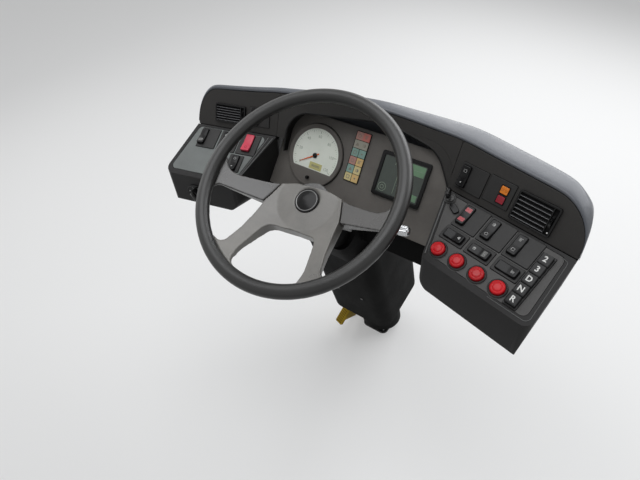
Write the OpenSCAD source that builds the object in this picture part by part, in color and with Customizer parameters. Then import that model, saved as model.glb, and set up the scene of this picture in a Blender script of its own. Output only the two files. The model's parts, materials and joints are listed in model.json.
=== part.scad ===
// Bus driver's dashboard with its steering wheel on a tilting, telescopic steering column.
// Millimetres. +X is the vehicle's right, +Y its front, +Z up.
// The origin is the middle of the column's foot plate, on the cab floor.

/* [Steering wheel] */
// Outer diameter of the rim
wheel_d = 450; // [440:5:470]
// Thickness of the rim
rim_d = 29; // [26:1:32]
// Tilt of the wheel's plane from level
wheel_tilt = 28.4; // [26:0.2:31]
// Height of the wheel's middle over the floor
wheel_z = 867; // [850:1:880]
// Distance of the wheel's middle behind the column's foot
wheel_back = 376; // [368:1:384]
// Angle at which the wheel stands, counterclockwise for the driver
wheel_turn = 6.4; // [-30:0.2:30]
// How far the hub's flat face lies below the rim's plane
hub_drop = 58; // [52:1:64]
// Thickness of the hub's pad in the middle
pad_t = 44; // [36:1:45]
// Radius of the hub's core
core_r = 44; // [38:1:48]
// Depth of the hub's core under the flat face
core_l = 47; // [46:0.5:48]
// Radius of the round badge
badge_r = 27; // [22:1:29]
// Radius of the steering shaft
shaft_r = 14; // [11:0.5:16]

/* [Column] */
// Lean of the column from upright, toward the driver
column_lean = 16; // [14:0.5:18]
// Height of the tilting pivot over the floor
pivot_z = 60; // [54:1:70]
// Radius of the tilting pivot's pin
pivot_r = 8; // [6:0.5:10]
// Outer radius of the lower tube
lower_tube_r = 35; // [32:0.5:40]
// Outer radius of the sliding upper tube
upper_tube_r = 30; // [26:0.5:31]
// Wall of the upper tube
upper_tube_wall = 4; // [3:0.5:8]
// Length of the lower tube above the pivot
lower_tube_l = 330; // [290:5:380]
// How deep the upper tube reaches above the pivot
upper_tube_start = 110; // [90:5:150]
// Radius of the round lower shroud
lower_shroud_r = 68; // [62:1:70]
// Half width of the upper shroud
upper_shroud = 106; // [96:1:110]
// Wall of both shrouds
shroud_wall = 4; // [3:0.5:5]
// Length of the lower shroud above the pivot
lower_shroud_l = 272; // [250:1:290]
// Where the upper shroud's lower edge lies above the pivot
upper_shroud_start = 172; // [160:1:185]

/* [Foot] */
// Side of the square foot plate
foot_w = 96; // [94:1:100]
// Thickness of the foot plate
foot_t = 10; // [8:1:12]
// Spacing of the four foot bolts
foot_pitch = 66; // [64:1:68]
// Radius of the foot bolts' holes
foot_hole_r = 5.5; // [4.5:0.5:6]
// Width of the release pedal's pad
pedal_w = 31; // [28:1:34]
// Length of the release pedal's pad
pedal_l = 80; // [74:1:84]

/* [Dashboard] */
// Turn of each wing toward the driver
wing_turn = 14; // [12:0.5:16]
// Length of the left wing along its crease
left_len = 220; // [212:1:230]
// Length of the right wing along its crease
right_len = 276; // [270:1:290]
// Length of a shelf from its crease to its front edge
shelf_l = 149; // [144:1:158]
// Fall of the shelves toward the driver
shelf_tilt = 25; // [21:0.5:29]
// Slope of the upper faces from level
face_tilt = 67; // [63:0.5:71]
// Height of the cowl's lip over the crease at the left end
lip_left = 80; // [76:1:84]
// Height of the cowl's lip over the crease at its highest
lip_top = 108; // [104:1:112]
// Height of the cowl's lip over the crease at the right end
lip_right = 79; // [76:1:84]
// Depth of the wings' front faces
front_h = 87; // [80:1:95]
// Wall of the moulded panels
wall = 4; // [3:0.5:5]
// Distance from the crease back to the left wing's rear wall
left_back = 66; // [64:1:72]
// Distance from the crease back to the right wing's rear wall
right_back = 94; // [90:1:100]
// Diameter of the speedometer's bezel
speedo_d = 148; // [140:1:152]
// Tilt of the instrument panel from level
panel_tilt = 56.6; // [55:0.2:58]

/* [Hidden] */
$fn = 48;
// Middle of the wheel, in the part's frame
wheel_at = [0, -wheel_back, wheel_z];
// Datum of the dashboard, in the part's frame
dash_at = wheel_at + [-32, 36, -37];
ring_r = (wheel_d - rim_d) / 2;
// Gap of a running fit
fit_gap = 0.05;
// Gap that keeps two touching parts from overlapping
touch = 0.02;
// Gap between sliding tubes
slide_gap = 0.2;
// Gap of loose covers
loose = 0.3;
// Groove between let-in panels and their surrounds
groove = 0.6;
// Longer than any cut needs
far = 800;
// Crease corners of the dashboard, from its datum
left_joint = [-167, 134];
right_joint = [259, 163];
crease_z = -4;
// Radius of the dashboard's bends seen from above
bend_r = 180;
// Angle at which a wing's inner edge leaves the crease
inner_angle = wing_turn + 9;
centre_len = norm(right_joint - left_joint);
centre_turn = atan2(right_joint.y - left_joint.y, right_joint.x - left_joint.x);
// Rear split between cowl and trays, from the crease
split_z = -10;
// Reach of a shelf seen from above, and its fall
shelf_run = shelf_l * cos(shelf_tilt);
shelf_fall = shelf_l * sin(shelf_tilt);

dark = [0.16, 0.16, 0.16];
panel_grey = [0.25, 0.25, 0.24];
shelf_grey = [0.34, 0.35, 0.33];
black = [0.06, 0.06, 0.06];
steel = [0.55, 0.56, 0.58];
spoke_grey = [0.5, 0.5, 0.48];
red = [0.8, 0.1, 0.1];
yellow = [0.85, 0.65, 0.1];

function unit(v) = v / norm(v);

// Points of one rounded corner at b, between a and c
function corner(a, b, c, r, n) =
    let (
        u = unit(a - b),
        v = unit(c - b),
        half = acos(u * v) / 2,
        p0 = b + u * r / tan(half),
        p1 = b + v * r / tan(half),
        m = b + unit(u + v) * r / sin(half),
        a0 = atan2(p0.y - m.y, p0.x - m.x),
        turn = atan2(p1.y - m.y, p1.x - m.x) - a0,
        sweep = turn > 180 ? turn - 360 : (turn < -180 ? turn + 360 : turn)
    )
    r <= 0 ? [b] : [for (k = [0:n]) m + r * [cos(a0 + sweep * k / n), sin(a0 + sweep * k / n)]];

// Outline whose corners are rounded, by one radius or by a list of radii
function rounded(p, r, n = 6) =
    let (c = len(p))
    [for (i = [0:c - 1])
        each corner(p[(i + c - 1) % c], p[i], p[(i + 1) % c], is_list(r) ? r[i] : r, n)];

function box_outline(x0, y0, x1, y1) = [[x0, y0], [x1, y0], [x1, y1], [x0, y1]];

// Half outline on the right of the middle line, with its mirror image added
function both_sides(p) =
    concat(p, [for (i = [len(p) - 1:-1:0]) if (p[i].x > 0) [-p[i].x, p[i].y]]);
function both_radii(p, r) =
    concat(r, [for (i = [len(p) - 1:-1:0]) if (p[i].x > 0) r[i]]);

// Rounded bar standing on its base
module round_bar(w, d, h, r) {
    linear_extrude(h) polygon(rounded(box_outline(-w / 2, -d / 2, w / 2, d / 2), r));
}

// Slab lying on a panel's plane, from x0, y0 to x1, y1, between two heights
module slab(x0, y0, x1, y1, z0, z1, r = 2) {
    translate([0, 0, z0]) linear_extrude(z1 - z0) polygon(rounded(box_outline(x0, y0, x1, y1), r, 3));
}

// Corner of material along the x axis, for cutting off; the material lies at positive y and z
module edge_cut(r) {
    difference() {
        translate([-far / 2, -1, -1]) cube([far, r + 1, r + 1]);
        translate([-far / 2, r, r]) rotate([0, 90, 0]) cylinder(r = r, h = far);
    }
}

// Everything above a level
module above(z) {
    translate([-far / 2, -far / 2, z]) cube(far);
}

// Frames
module at_wheel() {
    translate(wheel_at) rotate([wheel_tilt, 0, 0]) children();
}

module at_column() {
    translate([0, 0, pivot_z]) rotate([column_lean, 0, 0]) children();
}

// A wing's frame: x outward along the crease, y toward the windscreen, z up
module at_wing(side) {
    joint = side < 0 ? left_joint : right_joint;
    translate(dash_at + [joint.x, joint.y, crease_z])
        rotate([0, 0, -side * wing_turn])
        mirror([side < 0 ? 1 : 0, 0, 0])
        children();
}

module on_shelf(side) {
    at_wing(side) rotate([shelf_tilt, 0, 0]) children();
}

module on_face(side) {
    at_wing(side) rotate([face_tilt, 0, 0]) children();
}

module on_centre_face() {
    translate(dash_at + [left_joint.x, left_joint.y, crease_z])
        rotate([0, 0, centre_turn])
        rotate([face_tilt, 0, 0])
        children();
}

// The instrument panel's frame, on the panel's surface at the speedometer's height
panel_at = [0, 148, -30];
module on_panel() {
    translate(dash_at + panel_at) rotate([panel_tilt, 0, 0]) children();
}

// Foot and lower column
ear_in = 27;
ear_t = 12;
ear_r = 18;
pin_head_r = pivot_r + 4;
pin_head_t = 5;
foot_round = 20;
block_x = ear_in - 5;
neck_x = 18;
neck_y = 13;

module foot_plate() {
    color(steel) difference() {
        union() {
            round_bar(foot_w, foot_w, foot_t, foot_round);
            for (s = [-1, 1]) translate([s * (ear_in + ear_t / 2), 0, 0]) rotate([90, 0, 90])
                linear_extrude(ear_t, center = true) union() {
                    translate([-ear_r, foot_t - 1]) square([2 * ear_r, pivot_z - foot_t + 1]);
                    translate([0, pivot_z]) circle(ear_r);
                }
        }
        for (x = [-1, 1], y = [-1, 1]) translate([x * foot_pitch / 2, y * foot_pitch / 2, -1])
            cylinder(r = foot_hole_r, h = foot_t + 2);
        translate([0, 0, pivot_z]) rotate([0, 90, 0])
            cylinder(r = pivot_r + fit_gap, h = foot_w, center = true);
    }
}

module pivot_pin() {
    color(steel) translate([0, 0, pivot_z]) rotate([0, 90, 0]) {
        cylinder(r = pivot_r, h = 2 * (ear_in + ear_t + loose) + pin_head_t, center = true);
        for (s = [-1, 1]) translate([0, 0, s * (ear_in + ear_t + loose + pin_head_t / 2)])
            cylinder(r = pin_head_r, h = pin_head_t, center = true);
    }
}

// Middle of the release pedal's pad, its slope, and the web that carries it
pedal_at = [-91, -95, 78];
pedal_slope = 53;
pedal_yaw = -18;
pedal_t = 8;
pedal_web = 8;
pedal_foot = 32;
// Share of the pad's length, each way from its middle, that the web holds
pedal_hold = 0.35;

module release_pedal() {
    pad_dir = [cos(pedal_slope), sin(pedal_slope)];
    pad_mid = [pedal_at.y, pedal_at.z];
    base_x = pedal_at.x - pedal_web / 2;
    color(yellow) {
        translate(pedal_at) rotate([0, 0, pedal_yaw]) rotate([pedal_slope, 0, 0])
            round_bar(pedal_w, pedal_l, pedal_t, 5);
        translate([base_x, 0, 0]) rotate([90, 0, 90]) linear_extrude(pedal_web) polygon([
            pad_mid - pedal_hold * pedal_l * pad_dir, [-pedal_foot, 0], [pedal_foot / 2, 0],
            [pedal_foot / 2, foot_t + 12], pad_mid + pedal_hold * pedal_l * pad_dir
        ]);
        translate([base_x, -pedal_foot / 2, 0]) cube([-foot_w / 2 - base_x, pedal_foot, foot_t]);
    }
}

// Heights over the pivot where the neck, the tube and its bore begin
neck_start = 11;
tube_start = 40;
bore_start = 70;

module lower_tube() {
    color(steel) difference() {
        union() {
            at_column() translate([0, 0, tube_start])
                cylinder(r = lower_tube_r, h = lower_tube_l - tube_start);
            at_column() translate([-neck_x, -neck_y, neck_start])
                cube([2 * neck_x, 2 * neck_y, tube_start + 16 - neck_start]);
            translate([0, 0, pivot_z]) rotate([0, 90, 0])
                cylinder(r = ear_r - 2, h = 2 * block_x, center = true);
        }
        at_column() translate([0, 0, bore_start]) cylinder(r = upper_tube_r + slide_gap, h = lower_tube_l);
        translate([0, 0, pivot_z]) rotate([0, 90, 0])
            cylinder(r = pivot_r + fit_gap, h = foot_w, center = true);
    }
}

shroud_floor_gap = 25;
rib_t = 6;

module lower_shroud() {
    color(dark) difference() {
        at_column() {
            translate([0, 0, -pivot_z]) difference() {
                cylinder(r = lower_shroud_r, h = lower_shroud_l + pivot_z);
                translate([0, 0, -1])
                    cylinder(r = lower_shroud_r - shroud_wall, h = lower_shroud_l + pivot_z + 2);
            }
            translate([0, 0, lower_shroud_l - rib_t]) difference() {
                cylinder(r = lower_shroud_r - 1, h = rib_t);
                translate([0, 0, -1]) cylinder(r = lower_tube_r, h = rib_t + 2);
            }
        }
        mirror([0, 0, 1]) above(-shroud_floor_gap);
    }
}

// Head of the column, where the steering shaft turns
head_top = 207;
head_len = 80;
head_bearing_r = 34;
head_socket_r = 44;
head_web = 26;
// Place along the column that lies a distance z under the wheel's plane, and its offset
function column_t(z) =
    (wheel_back * sin(wheel_tilt) + (wheel_z - pivot_z) * cos(wheel_tilt) - z)
        / cos(wheel_tilt - column_lean);
function column_y(z) =
    (wheel_back - column_t(z) * sin(column_lean)) * cos(wheel_tilt)
        + (pivot_z - wheel_z + column_t(z) * cos(column_lean)) * sin(wheel_tilt);
head_t = column_t(head_top + 0.7 * head_len);
head_reach = column_y(head_top + head_len / 2) + upper_tube_r;
upper_shroud_end = head_t - 55;
head_web_end = 6;
shroud_round = 40;

module upper_tube() {
    color(steel) at_column() translate([0, 0, upper_tube_start]) difference() {
        cylinder(r = upper_tube_r, h = head_t - 10 - upper_tube_start);
        translate([0, 0, -1]) cylinder(r = upper_tube_r - upper_tube_wall, h = head_t);
    }
}

module upper_shroud() {
    w = 2 * upper_shroud;
    inner = w - 2 * shroud_wall;
    color(dark) at_column() difference() {
        translate([0, 0, upper_shroud_start])
            round_bar(w, w, upper_shroud_end - upper_shroud_start, shroud_round);
        translate([0, 0, upper_shroud_start - 1])
            round_bar(inner, inner, upper_shroud_end - rib_t - upper_shroud_start + 1,
                shroud_round - shroud_wall);
        cylinder(r = upper_tube_r, h = far);
    }
}

// Space under the upper shroud's top
module below_head(gap) {
    at_column() mirror([0, 0, 1]) above(-upper_shroud_end - gap);
}

module column_head() {
    color([0.3, 0.3, 0.3]) difference() {
        union() {
            at_column() translate([0, 0, upper_shroud_end])
                cylinder(r = head_socket_r, h = head_t + 20 - upper_shroud_end);
            at_wheel() translate([0, 0, -head_top - head_len]) cylinder(r = head_bearing_r, h = head_len);
            at_wheel() translate([-head_web, 0, -head_top - head_len + head_web_end])
                cube([2 * head_web, head_reach, head_len - 2 * head_web_end]);
        }
        below_head(0);
        at_wheel() translate([0, 0, -head_top - head_len - 60]) cylinder(r = shaft_r, h = head_len + 100);
        at_column() translate([0, 0, upper_shroud_end - 1])
            cylinder(r = upper_tube_r, h = head_t - 9 - upper_shroud_end);
    }
}

// Cover under the wheel: a box round the column's head, with the switch housing on top
cover_top = 200;
cover_l = 200;
cover_x = 70;
cover_y0 = -44;
cover_y1 = 154;
cover_r = 26;
housing_top = 112;
housing_x = 58;
housing_y1 = 36;

module cover_bar(half, y1, w) {
    polygon(rounded(box_outline(-half + w, cover_y0 + w, half - w, y1 - w), cover_r - w));
}

// The cover's outer form, or with w and rise the space inside its wall
module cover_solid(w, rise) {
    translate([0, 0, -cover_top - cover_l]) linear_extrude(cover_l + rise) cover_bar(cover_x, cover_y1, w);
    translate([0, 0, -cover_top - 1]) linear_extrude(cover_top + 1 - housing_top + rise)
        cover_bar(housing_x, housing_y1, w);
}

module head_cover() {
    color(dark) difference() {
        at_wheel() cover_solid(0, 0);
        at_wheel() cover_solid(wall, -wall);
        at_wheel() translate([0, 0, -head_top]) cylinder(r = shaft_r + 6, h = 2 * housing_top);
        below_head(loose);
        for (side = [-1, 1]) beam_half(side, beam_w + 2 * loose);
        at_wheel() lever_rod(lever_root, loose);
    }
}

// Lever of the column switch, from its root in the housing to its tip
lever_root = [housing_x - 10, 3, -131];
lever_end = [205, 38, -122];
lever_tip_l = 26;
lever_r = 7;

module lever_rod(from, gap) {
    d = lever_end - from;
    translate(from) rotate([0, acos(d.z / norm(d)), atan2(d.y, d.x)])
        cylinder(r = lever_r + gap, h = norm(d) - lever_tip_l);
}

module lever() {
    color(black) at_wheel() lever_rod(lever_root, 0);
}

module lever_tip() {
    d = lever_end - lever_root;
    color(steel) at_wheel() translate(lever_root) rotate([0, acos(d.z / norm(d)), atan2(d.y, d.x)])
        translate([0, 0, norm(d) - lever_tip_l]) cylinder(r = lever_r + 4, h = lever_tip_l);
}

// Dashboard
beam_w = 34;
beam_wall = 3;
beam_at = [150, -128];
beam_reach = 400;

// Half of the beam that carries the dashboard, from the column's head to one tray
module beam_half(side, w) {
    difference() {
        translate([side < 0 ? -beam_reach : head_web, dash_at.y + beam_at[0] - w / 2,
            dash_at.z + beam_at[1] - w / 2]) cube([beam_reach - head_web, w, w]);
        at_wing(side) translate([0, -far / 2, -far / 2]) cube(far);
        at_column() cylinder(r = head_socket_r + touch, h = 2 * head_t);
    }
}

module support_beam() {
    color(steel) for (side = [-1, 1]) difference() {
        beam_half(side, beam_w);
        beam_half(side, beam_w - 2 * beam_wall);
    }
}

// Line of the crease seen from above, from the left end to the right end; the steps are
// distances from a wing's end and stand closer where the end is rounded
function wing_point(side, s) =
    (side < 0 ? left_joint : right_joint) + s * [side * cos(wing_turn), -sin(wing_turn)];
function between_joints(f) = left_joint + (right_joint - left_joint) * f;
left_steps = [0, 1.5, 4, 8, 13, 20, 28, 38, 50, 75, 110, 150, 190];
right_steps = [0, 1.5, 5, 10, 17, 26, 37, 50, 65, 80, 110, 150, 200, 235];
left_round = 50;
right_round = 80;
bend_steps = 6;
centre_steps = 9;
crease_line = concat(
    [for (d = left_steps) wing_point(-1, left_len - d)],
    corner(wing_point(-1, left_len), left_joint, right_joint, bend_r, bend_steps),
    [for (k = [1:centre_steps]) between_joints(0.07 + 0.86 * k / (centre_steps + 1))],
    corner(left_joint, right_joint, wing_point(1, right_len), bend_r, bend_steps),
    [for (k = [len(right_steps) - 1:-1:0]) wing_point(1, right_len - right_steps[k])]
);

// Height of the lip and width of the crown along the dashboard: [place across, size]
lip_table = [
    [-380, lip_left], [-215, lip_left + 8], [-67, lip_top - 5], [82, lip_top],
    [182, lip_right + 20], [281, lip_right + 10], [527, lip_right]
];
crown_table = [
    [-380, 12], [-264, 13], [-117, 19], [32, 33], [132, 34],
    [232, 52], [330, 52], [450, 49], [500, 31], [527, 15]
];
function smooth(x, table) = (lookup(x - 40, table) + 2 * lookup(x, table) + lookup(x + 40, table)) / 4;

// Share of the full height that is left at distance d from an end rounded over length r
function end_share(d, r) = d >= r ? 1 : sqrt(max(0, 1 - pow(1 - d / r, 2)));
function along_left(p) = norm(p - wing_point(-1, left_len));
function along_right(p) = norm(p - wing_point(1, right_len));
function lip_h(p) =
    2 + (smooth(p.x, lip_table) - 2)
        * end_share(along_left(p), left_round) * end_share(along_right(p), right_round);
// The rear wall draws in toward the right end
end_back = 12;
end_taper = 30;
function back_of(p) =
    let (f = (p.x - left_joint.x) / (right_joint.x - left_joint.x))
    min(left_back + (right_back - left_back) * min(1, max(0, f)),
        end_back + along_right(p) * (right_back - end_back) / end_taper);

// Section of the cowl at one point: [distance back from the crease, height over it]
cowl_wall = 3;
cowl_crown = 8;
function cowl_section(h, b, crown) =
    let (l = h * tan(90 - face_tilt), w = min(crown, b - l - 4), t = cowl_wall)
    [
        [l, h], [l + 1, h + 4], [l + 4, h + cowl_crown - 1], [l + w - 3, h + cowl_crown], [l + w + 1, h + 4],
        [b, max(h - 16, split_z + 1)], [b, split_z],
        [b - t, split_z], [b - t, max(h - 17.5, split_z + 1)],
        [l + w - 2.2, h + 2.5], [l + w - 4.2, h + 4.8], [l + 5, h + 4], [l + t, h]
    ];

function cowl_ring(i) =
    let (
        p = crease_line[i],
        a = crease_line[max(0, i - 1)],
        b = crease_line[min(len(crease_line) - 1, i + 1)],
        d = unit(b - a),
        back = [-d.y, d.x]
    )
    [for (q = cowl_section(lip_h(p), back_of(p), smooth(p.x, crown_table)))
        [p.x + back.x * q.x, p.y + back.y * q.x, crease_z + q.y]];

// Closed skin through a list of rings with equal counts of points
module loft(rings) {
    n = len(rings[0]);
    m = len(rings);
    polyhedron(
        points = [for (r = rings) each r],
        faces = concat(
            [[for (j = [0:n - 1]) j]],
            [for (i = [0:m - 2], j = [0:n - 1])
                [i * n + j, (i + 1) * n + j, (i + 1) * n + (j + 1) % n, i * n + (j + 1) % n]],
            [[for (j = [n - 1:-1:0]) (m - 1) * n + j]]
        )
    );
}

module cowl() {
    color([0.3, 0.31, 0.33]) translate(dash_at) loft([for (i = [0:len(crease_line) - 1]) cowl_ring(i)]);
}

// Opening of the instrument recess in the centre face, made larger by g: [along the crease, up the face]
recess_x0 = 24;
recess_x1 = 430;
recess_low = -30;
recess_left_top = 66;
recess_mid = [240, 92];
recess_right_top = 80;
function recess(g) = rounded(
    [[recess_x0 - g, recess_low], [recess_x0 - g, recess_left_top + g], recess_mid + [0, g],
     [recess_x1 + g, recess_right_top + g], [recess_x1 + g, recess_low]],
    [0, 62 + g, 120 + g, 66 + g, 0], 8);

// How far two faces run past their crease joint, for each millimetre up the face
function mitre(side) = cos(face_tilt) * tan((wing_turn + side * centre_turn) / 2);
function face_top(p) = (lip_h(p) - groove) / sin(face_tilt);
face_steps = 16;

module face_centre() {
    h0 = face_top(left_joint);
    h1 = face_top(right_joint);
    color(panel_grey) on_centre_face() translate([0, 0, -wall]) linear_extrude(wall) difference() {
        polygon(concat(
            [[loose, 0], [loose - h0 * mitre(-1), h0]],
            [for (k = [1:face_steps - 1]) let (f = k / face_steps) [centre_len * f, face_top(between_joints(f))]],
            [[centre_len - loose + h1 * mitre(1), h1], [centre_len - loose, 0]]));
        polygon(recess(0));
    }
}

module face_wing(side, length) {
    steps = side < 0 ? left_steps : right_steps;
    h = face_top(side < 0 ? left_joint : right_joint);
    on_face(side) translate([0, 0, -wall]) linear_extrude(wall) polygon(concat(
        [[loose, loose], [loose - h * mitre(side), h]],
        [for (k = [len(steps) - 1:-1:1]) let (s = length - steps[k]) [s, face_top(wing_point(side, s))]],
        [[length - steps[1], loose]]));
}

module face_left() {
    color(panel_grey) face_wing(-1, left_len);
}

module face_right() {
    color(panel_grey) face_wing(1, right_len);
}

// Outline of a wing seen from above, moved in by w: [outward along the crease, toward the windscreen]
left_flare = 34;
right_flare = 12;
front_round_in = 12;
front_round_out = 18;
function wing_outline(length, flare, back, taper, w) = rounded(
    [[w, back - w], [w, 0], [shelf_run * tan(inner_angle) + w, -shelf_run + w],
     [length + flare - w, -shelf_run + w], [length - w, 0],
     [length - w, taper > 0 ? end_back : 1], [length - taper - w, back - w]],
    [0, 0, front_round_in - w, front_round_out - w, 0, 0, 0]);

// Lower housing of a wing: plan outline met by the side profile, with rounded lower edges
low_round_in = 38;
low_round_out = 26;
low_round_front = 9;
outer_draft = 8;
inlay_t = 3;
module wing_block(length, flare, back, taper, w) {
    low = -shelf_fall - front_h + w;
    difference() {
        intersection() {
            translate([0, 0, -far / 2]) linear_extrude(far)
                polygon(wing_outline(length, flare, back, taper, w));
            translate([-50, 0, 0]) rotate([90, 0, 90]) linear_extrude(length + 150) polygon(rounded(
                [[-shelf_run + w, 60], [-shelf_run + w, low], [back - w, low], [back - w, 60]],
                [0, low_round_front - w, low_round_front - w, 0]));
        }
        rotate([shelf_tilt, 0, 0]) translate([length - w + loose, 0, 0])
            rotate([0, 0, atan2(shelf_l, -flare)]) rotate([outer_draft, 0, 0])
            translate([-far / 2, -far, -far]) cube(far);
        translate([w, 0, low]) rotate([0, 0, inner_angle - 90]) edge_cut(low_round_in - w);
        translate([length - w + low * tan(outer_draft), 0, low]) rotate([0, 0, atan2(shelf_run, -flare)])
            edge_cut(low_round_out - w);
    }
}

// Switch panel let into a shelf: its places along the crease at the far and the near edge
inlay_high = -7;
inlay_low = -136;
inlay_left = [[22, 211], [60, 242]];
inlay_right = [[12, 262], [62, 272]];
inlay_round = 12;
// Its outline, drawn in by w
function inlay_outline(side, w) =
    let (q = side < 0 ? inlay_left : inlay_right)
    rounded([
        [q[0][0] + w, inlay_high - w], [q[0][1] - w, inlay_high - w],
        [q[1][1] - w, inlay_low + w], [q[1][0] + w, inlay_low + w]
    ], inlay_round - w);

module tray(side, length, flare, back, taper) {
    difference() {
        at_wing(side) wing_block(length, flare, back, taper, 0);
        at_wing(side) difference() {
            wing_block(length, flare, back, taper, wall);
            rotate([shelf_tilt, 0, 0]) above(-wall - inlay_t);
        }
        at_wing(side) intersection() {
            wing_block(length, flare, back, taper, wall);
            translate([-far / 2, wall, -far / 2]) cube(far);
        }
        on_shelf(side) above(0);
        at_wing(side) translate([-far / 2, -1, split_z]) cube(far);
        on_shelf(side) translate([0, 0, -inlay_t]) linear_extrude(far) polygon(inlay_outline(side, 0));
    }
}

module tray_left() {
    color(dark) tray(-1, left_len, left_flare, left_back, 0);
}

module tray_right() {
    color(dark) tray(1, right_len, right_flare, right_back, end_taper);
}

module shelf_left() {
    color(shelf_grey) on_shelf(-1) translate([0, 0, -inlay_t]) linear_extrude(inlay_t)
        polygon(inlay_outline(-1, groove));
}

module shelf_right() {
    color(shelf_grey) on_shelf(1) translate([0, 0, -inlay_t]) linear_extrude(inlay_t)
        polygon(inlay_outline(1, groove));
}

// Instrument panel between the wings' inner walls
panel_x0 = -165.6;
panel_x1 = 258;
panel_low = -100;
panel_high = 92;
// Where the panel widens behind the right face, and by how much
panel_shoulder = 45;
panel_wider = 12;
// The panel's lower corners, beside the trays' inner walls
panel_low_y = panel_at.y + panel_low * cos(panel_tilt);
panel_low_x0 = left_joint.x - (left_joint.y - panel_low_y) * tan(inner_angle - wing_turn) + groove;
panel_low_x1 = right_joint.x + (right_joint.y - panel_low_y) * tan(inner_angle - wing_turn) - groove;
hood_wall = 3;

hood_reach = 90;
module cluster_hood() {
    color(dark) intersection() {
        on_centre_face() translate([0, 0, -hood_reach]) linear_extrude(hood_reach - wall) difference() {
            polygon(recess(hood_wall));
            translate([0, -1]) polygon(recess(0));
        }
        on_panel() above(0);
    }
}

module instrument_panel() {
    color(panel_grey) on_panel() translate([0, 0, -wall]) linear_extrude(wall) polygon(rounded(
        [[panel_low_x0, panel_low], [panel_low_x1, panel_low], [panel_x1, 22], [panel_x1, panel_shoulder],
         [panel_x1 + panel_wider, panel_shoulder], [panel_x1 + panel_wider, panel_high],
         [panel_x0, panel_high], [panel_x0, -20]],
        [0, 0, 0, 0, 0, 40, 60, 0], 8));
}

// Knee panel: a flange behind the instrument panel's lower edge, and a drop from it
knee_h = 64;
knee_lap = 12;
module lower_panel() {
    up = [cos(panel_tilt), sin(panel_tilt)];
    back = [sin(panel_tilt), -cos(panel_tilt)];
    edge = wall * back;
    color(dark) difference() {
        translate(dash_at + panel_at + panel_low * [0, up.x, up.y] + [panel_low_x0 + 2, 0, 0])
            rotate([90, 0, 90]) linear_extrude(panel_low_x1 - panel_low_x0 - 4) polygon([
                edge, edge + knee_lap * up, edge + knee_lap * up + wall * back, edge + [wall, -wall],
                edge + [wall, -knee_h], edge + [0, -knee_h]
            ]);
        translate([-cover_x - 2, -far / 2, -far / 2]) cube([2 * cover_x + 4, far, 2 * far]);
    }
}

// Speedometer: its place on the panel, its ring, its dial and the apron below the dial
speedo_at = [-62, 0];
speedo_ring = 6;
speedo_h = 9;
dial_t = 3;
apron_top = -34;
apron_h = 6;
knob_at = [-64, -54];
knob_r = 4;
knob_h = 8;

module speedometer_bezel() {
    color(black) on_panel() translate(speedo_at) {
        difference() {
            cylinder(r = speedo_d / 2, h = speedo_h);
            translate([0, 0, -1]) cylinder(r = speedo_d / 2 - speedo_ring, h = speedo_h + 2);
        }
        intersection() {
            cylinder(r = speedo_d / 2 - speedo_ring / 2, h = apron_h);
            translate([-far / 2, apron_top - far, dial_t]) cube(far);
        }
    }
}

module speedometer_dial() {
    color([0.75, 0.82, 0.76]) on_panel() translate(speedo_at)
        cylinder(r = speedo_d / 2 - speedo_ring - fit_gap, h = dial_t);
}

module trip_knob() {
    color(black) on_panel() translate([knob_at.x, knob_at.y, apron_h]) cylinder(r = knob_r, h = knob_h);
}

// Boxes on the panel: [left, lower, right, upper]
lamp_box = [26, -29, 64, 85];
lamp_t = 4;
display_box = [102, -34, 217, 64];
display_ring = 8;
display_t = 6;
screen_z = 2;
screen_t = 2;

module lamp_block() {
    color([0.2, 0.2, 0.2]) on_panel() slab(lamp_box[0], lamp_box[1], lamp_box[2], lamp_box[3], 0, lamp_t);
}

module screen_slab(h) {
    slab(display_box[0] + display_ring, display_box[1] + display_ring,
        display_box[2] - display_ring, display_box[3] - display_ring, screen_z, screen_z + h, 3);
}

module display_bezel() {
    color(black) on_panel() difference() {
        slab(display_box[0], display_box[1], display_box[2], display_box[3], 0, display_t, 5);
        screen_slab(display_t);
    }
}

module display_screen() {
    color([0.12, 0.2, 0.16]) on_panel() screen_slab(screen_t);
}

// Vent with a frame, slats and a thumbwheel at its far end
vent_h = 6;
vent_floor = 1;
vent_frame = 4;
vent_wheel_w = 14;
vent_wheel_r = 14;
vent_wheel_t = 5;
slats = 6;
slat_t = 1.6;
slat_l = 5;
slat_slope = 35;
module vent(x0, y0, x1, y1) {
    grille = x1 - vent_wheel_w;
    difference() {
        slab(x0, y0, x1, y1, 0, vent_h, 4);
        slab(x0 + vent_frame, y0 + vent_frame, grille, y1 - vent_frame, vent_floor, vent_h + 2, 1);
        slab(grille + 3, y0 + vent_frame, x1 - vent_frame, y1 - vent_frame, vent_h / 2, vent_h + 2, 1);
    }
    pitch = (y1 - y0 - 2 * vent_frame) / slats;
    for (k = [0:slats - 1]) translate([x0 + vent_frame - 1, y0 + vent_frame + pitch * (k + 0.5), vent_floor])
        rotate([slat_slope, 0, 0]) translate([0, -1, 0])
        cube([grille - x0 - vent_frame + 2, slat_t, slat_l]);
    intersection() {
        translate([grille + 4, (y0 + y1) / 2, -vent_h]) rotate([0, 90, 0])
            cylinder(r = vent_wheel_r, h = vent_wheel_t);
        above(vent_floor);
    }
}

// The left vent's thumbwheel is on its inner side
left_vent = [85, 14, 168, 58];
module vent_left() {
    color(black) on_face(-1) translate([left_vent[0] + left_vent[2], 0, 0]) mirror([1, 0, 0])
        vent(left_vent[0], left_vent[1], left_vent[2], left_vent[3]);
}

right_vent = [138, 9, 218, 66];
module vent_right() {
    color(black) on_face(1) vent(right_vent[0], right_vent[1], right_vent[2], right_vent[3]);
}

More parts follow.
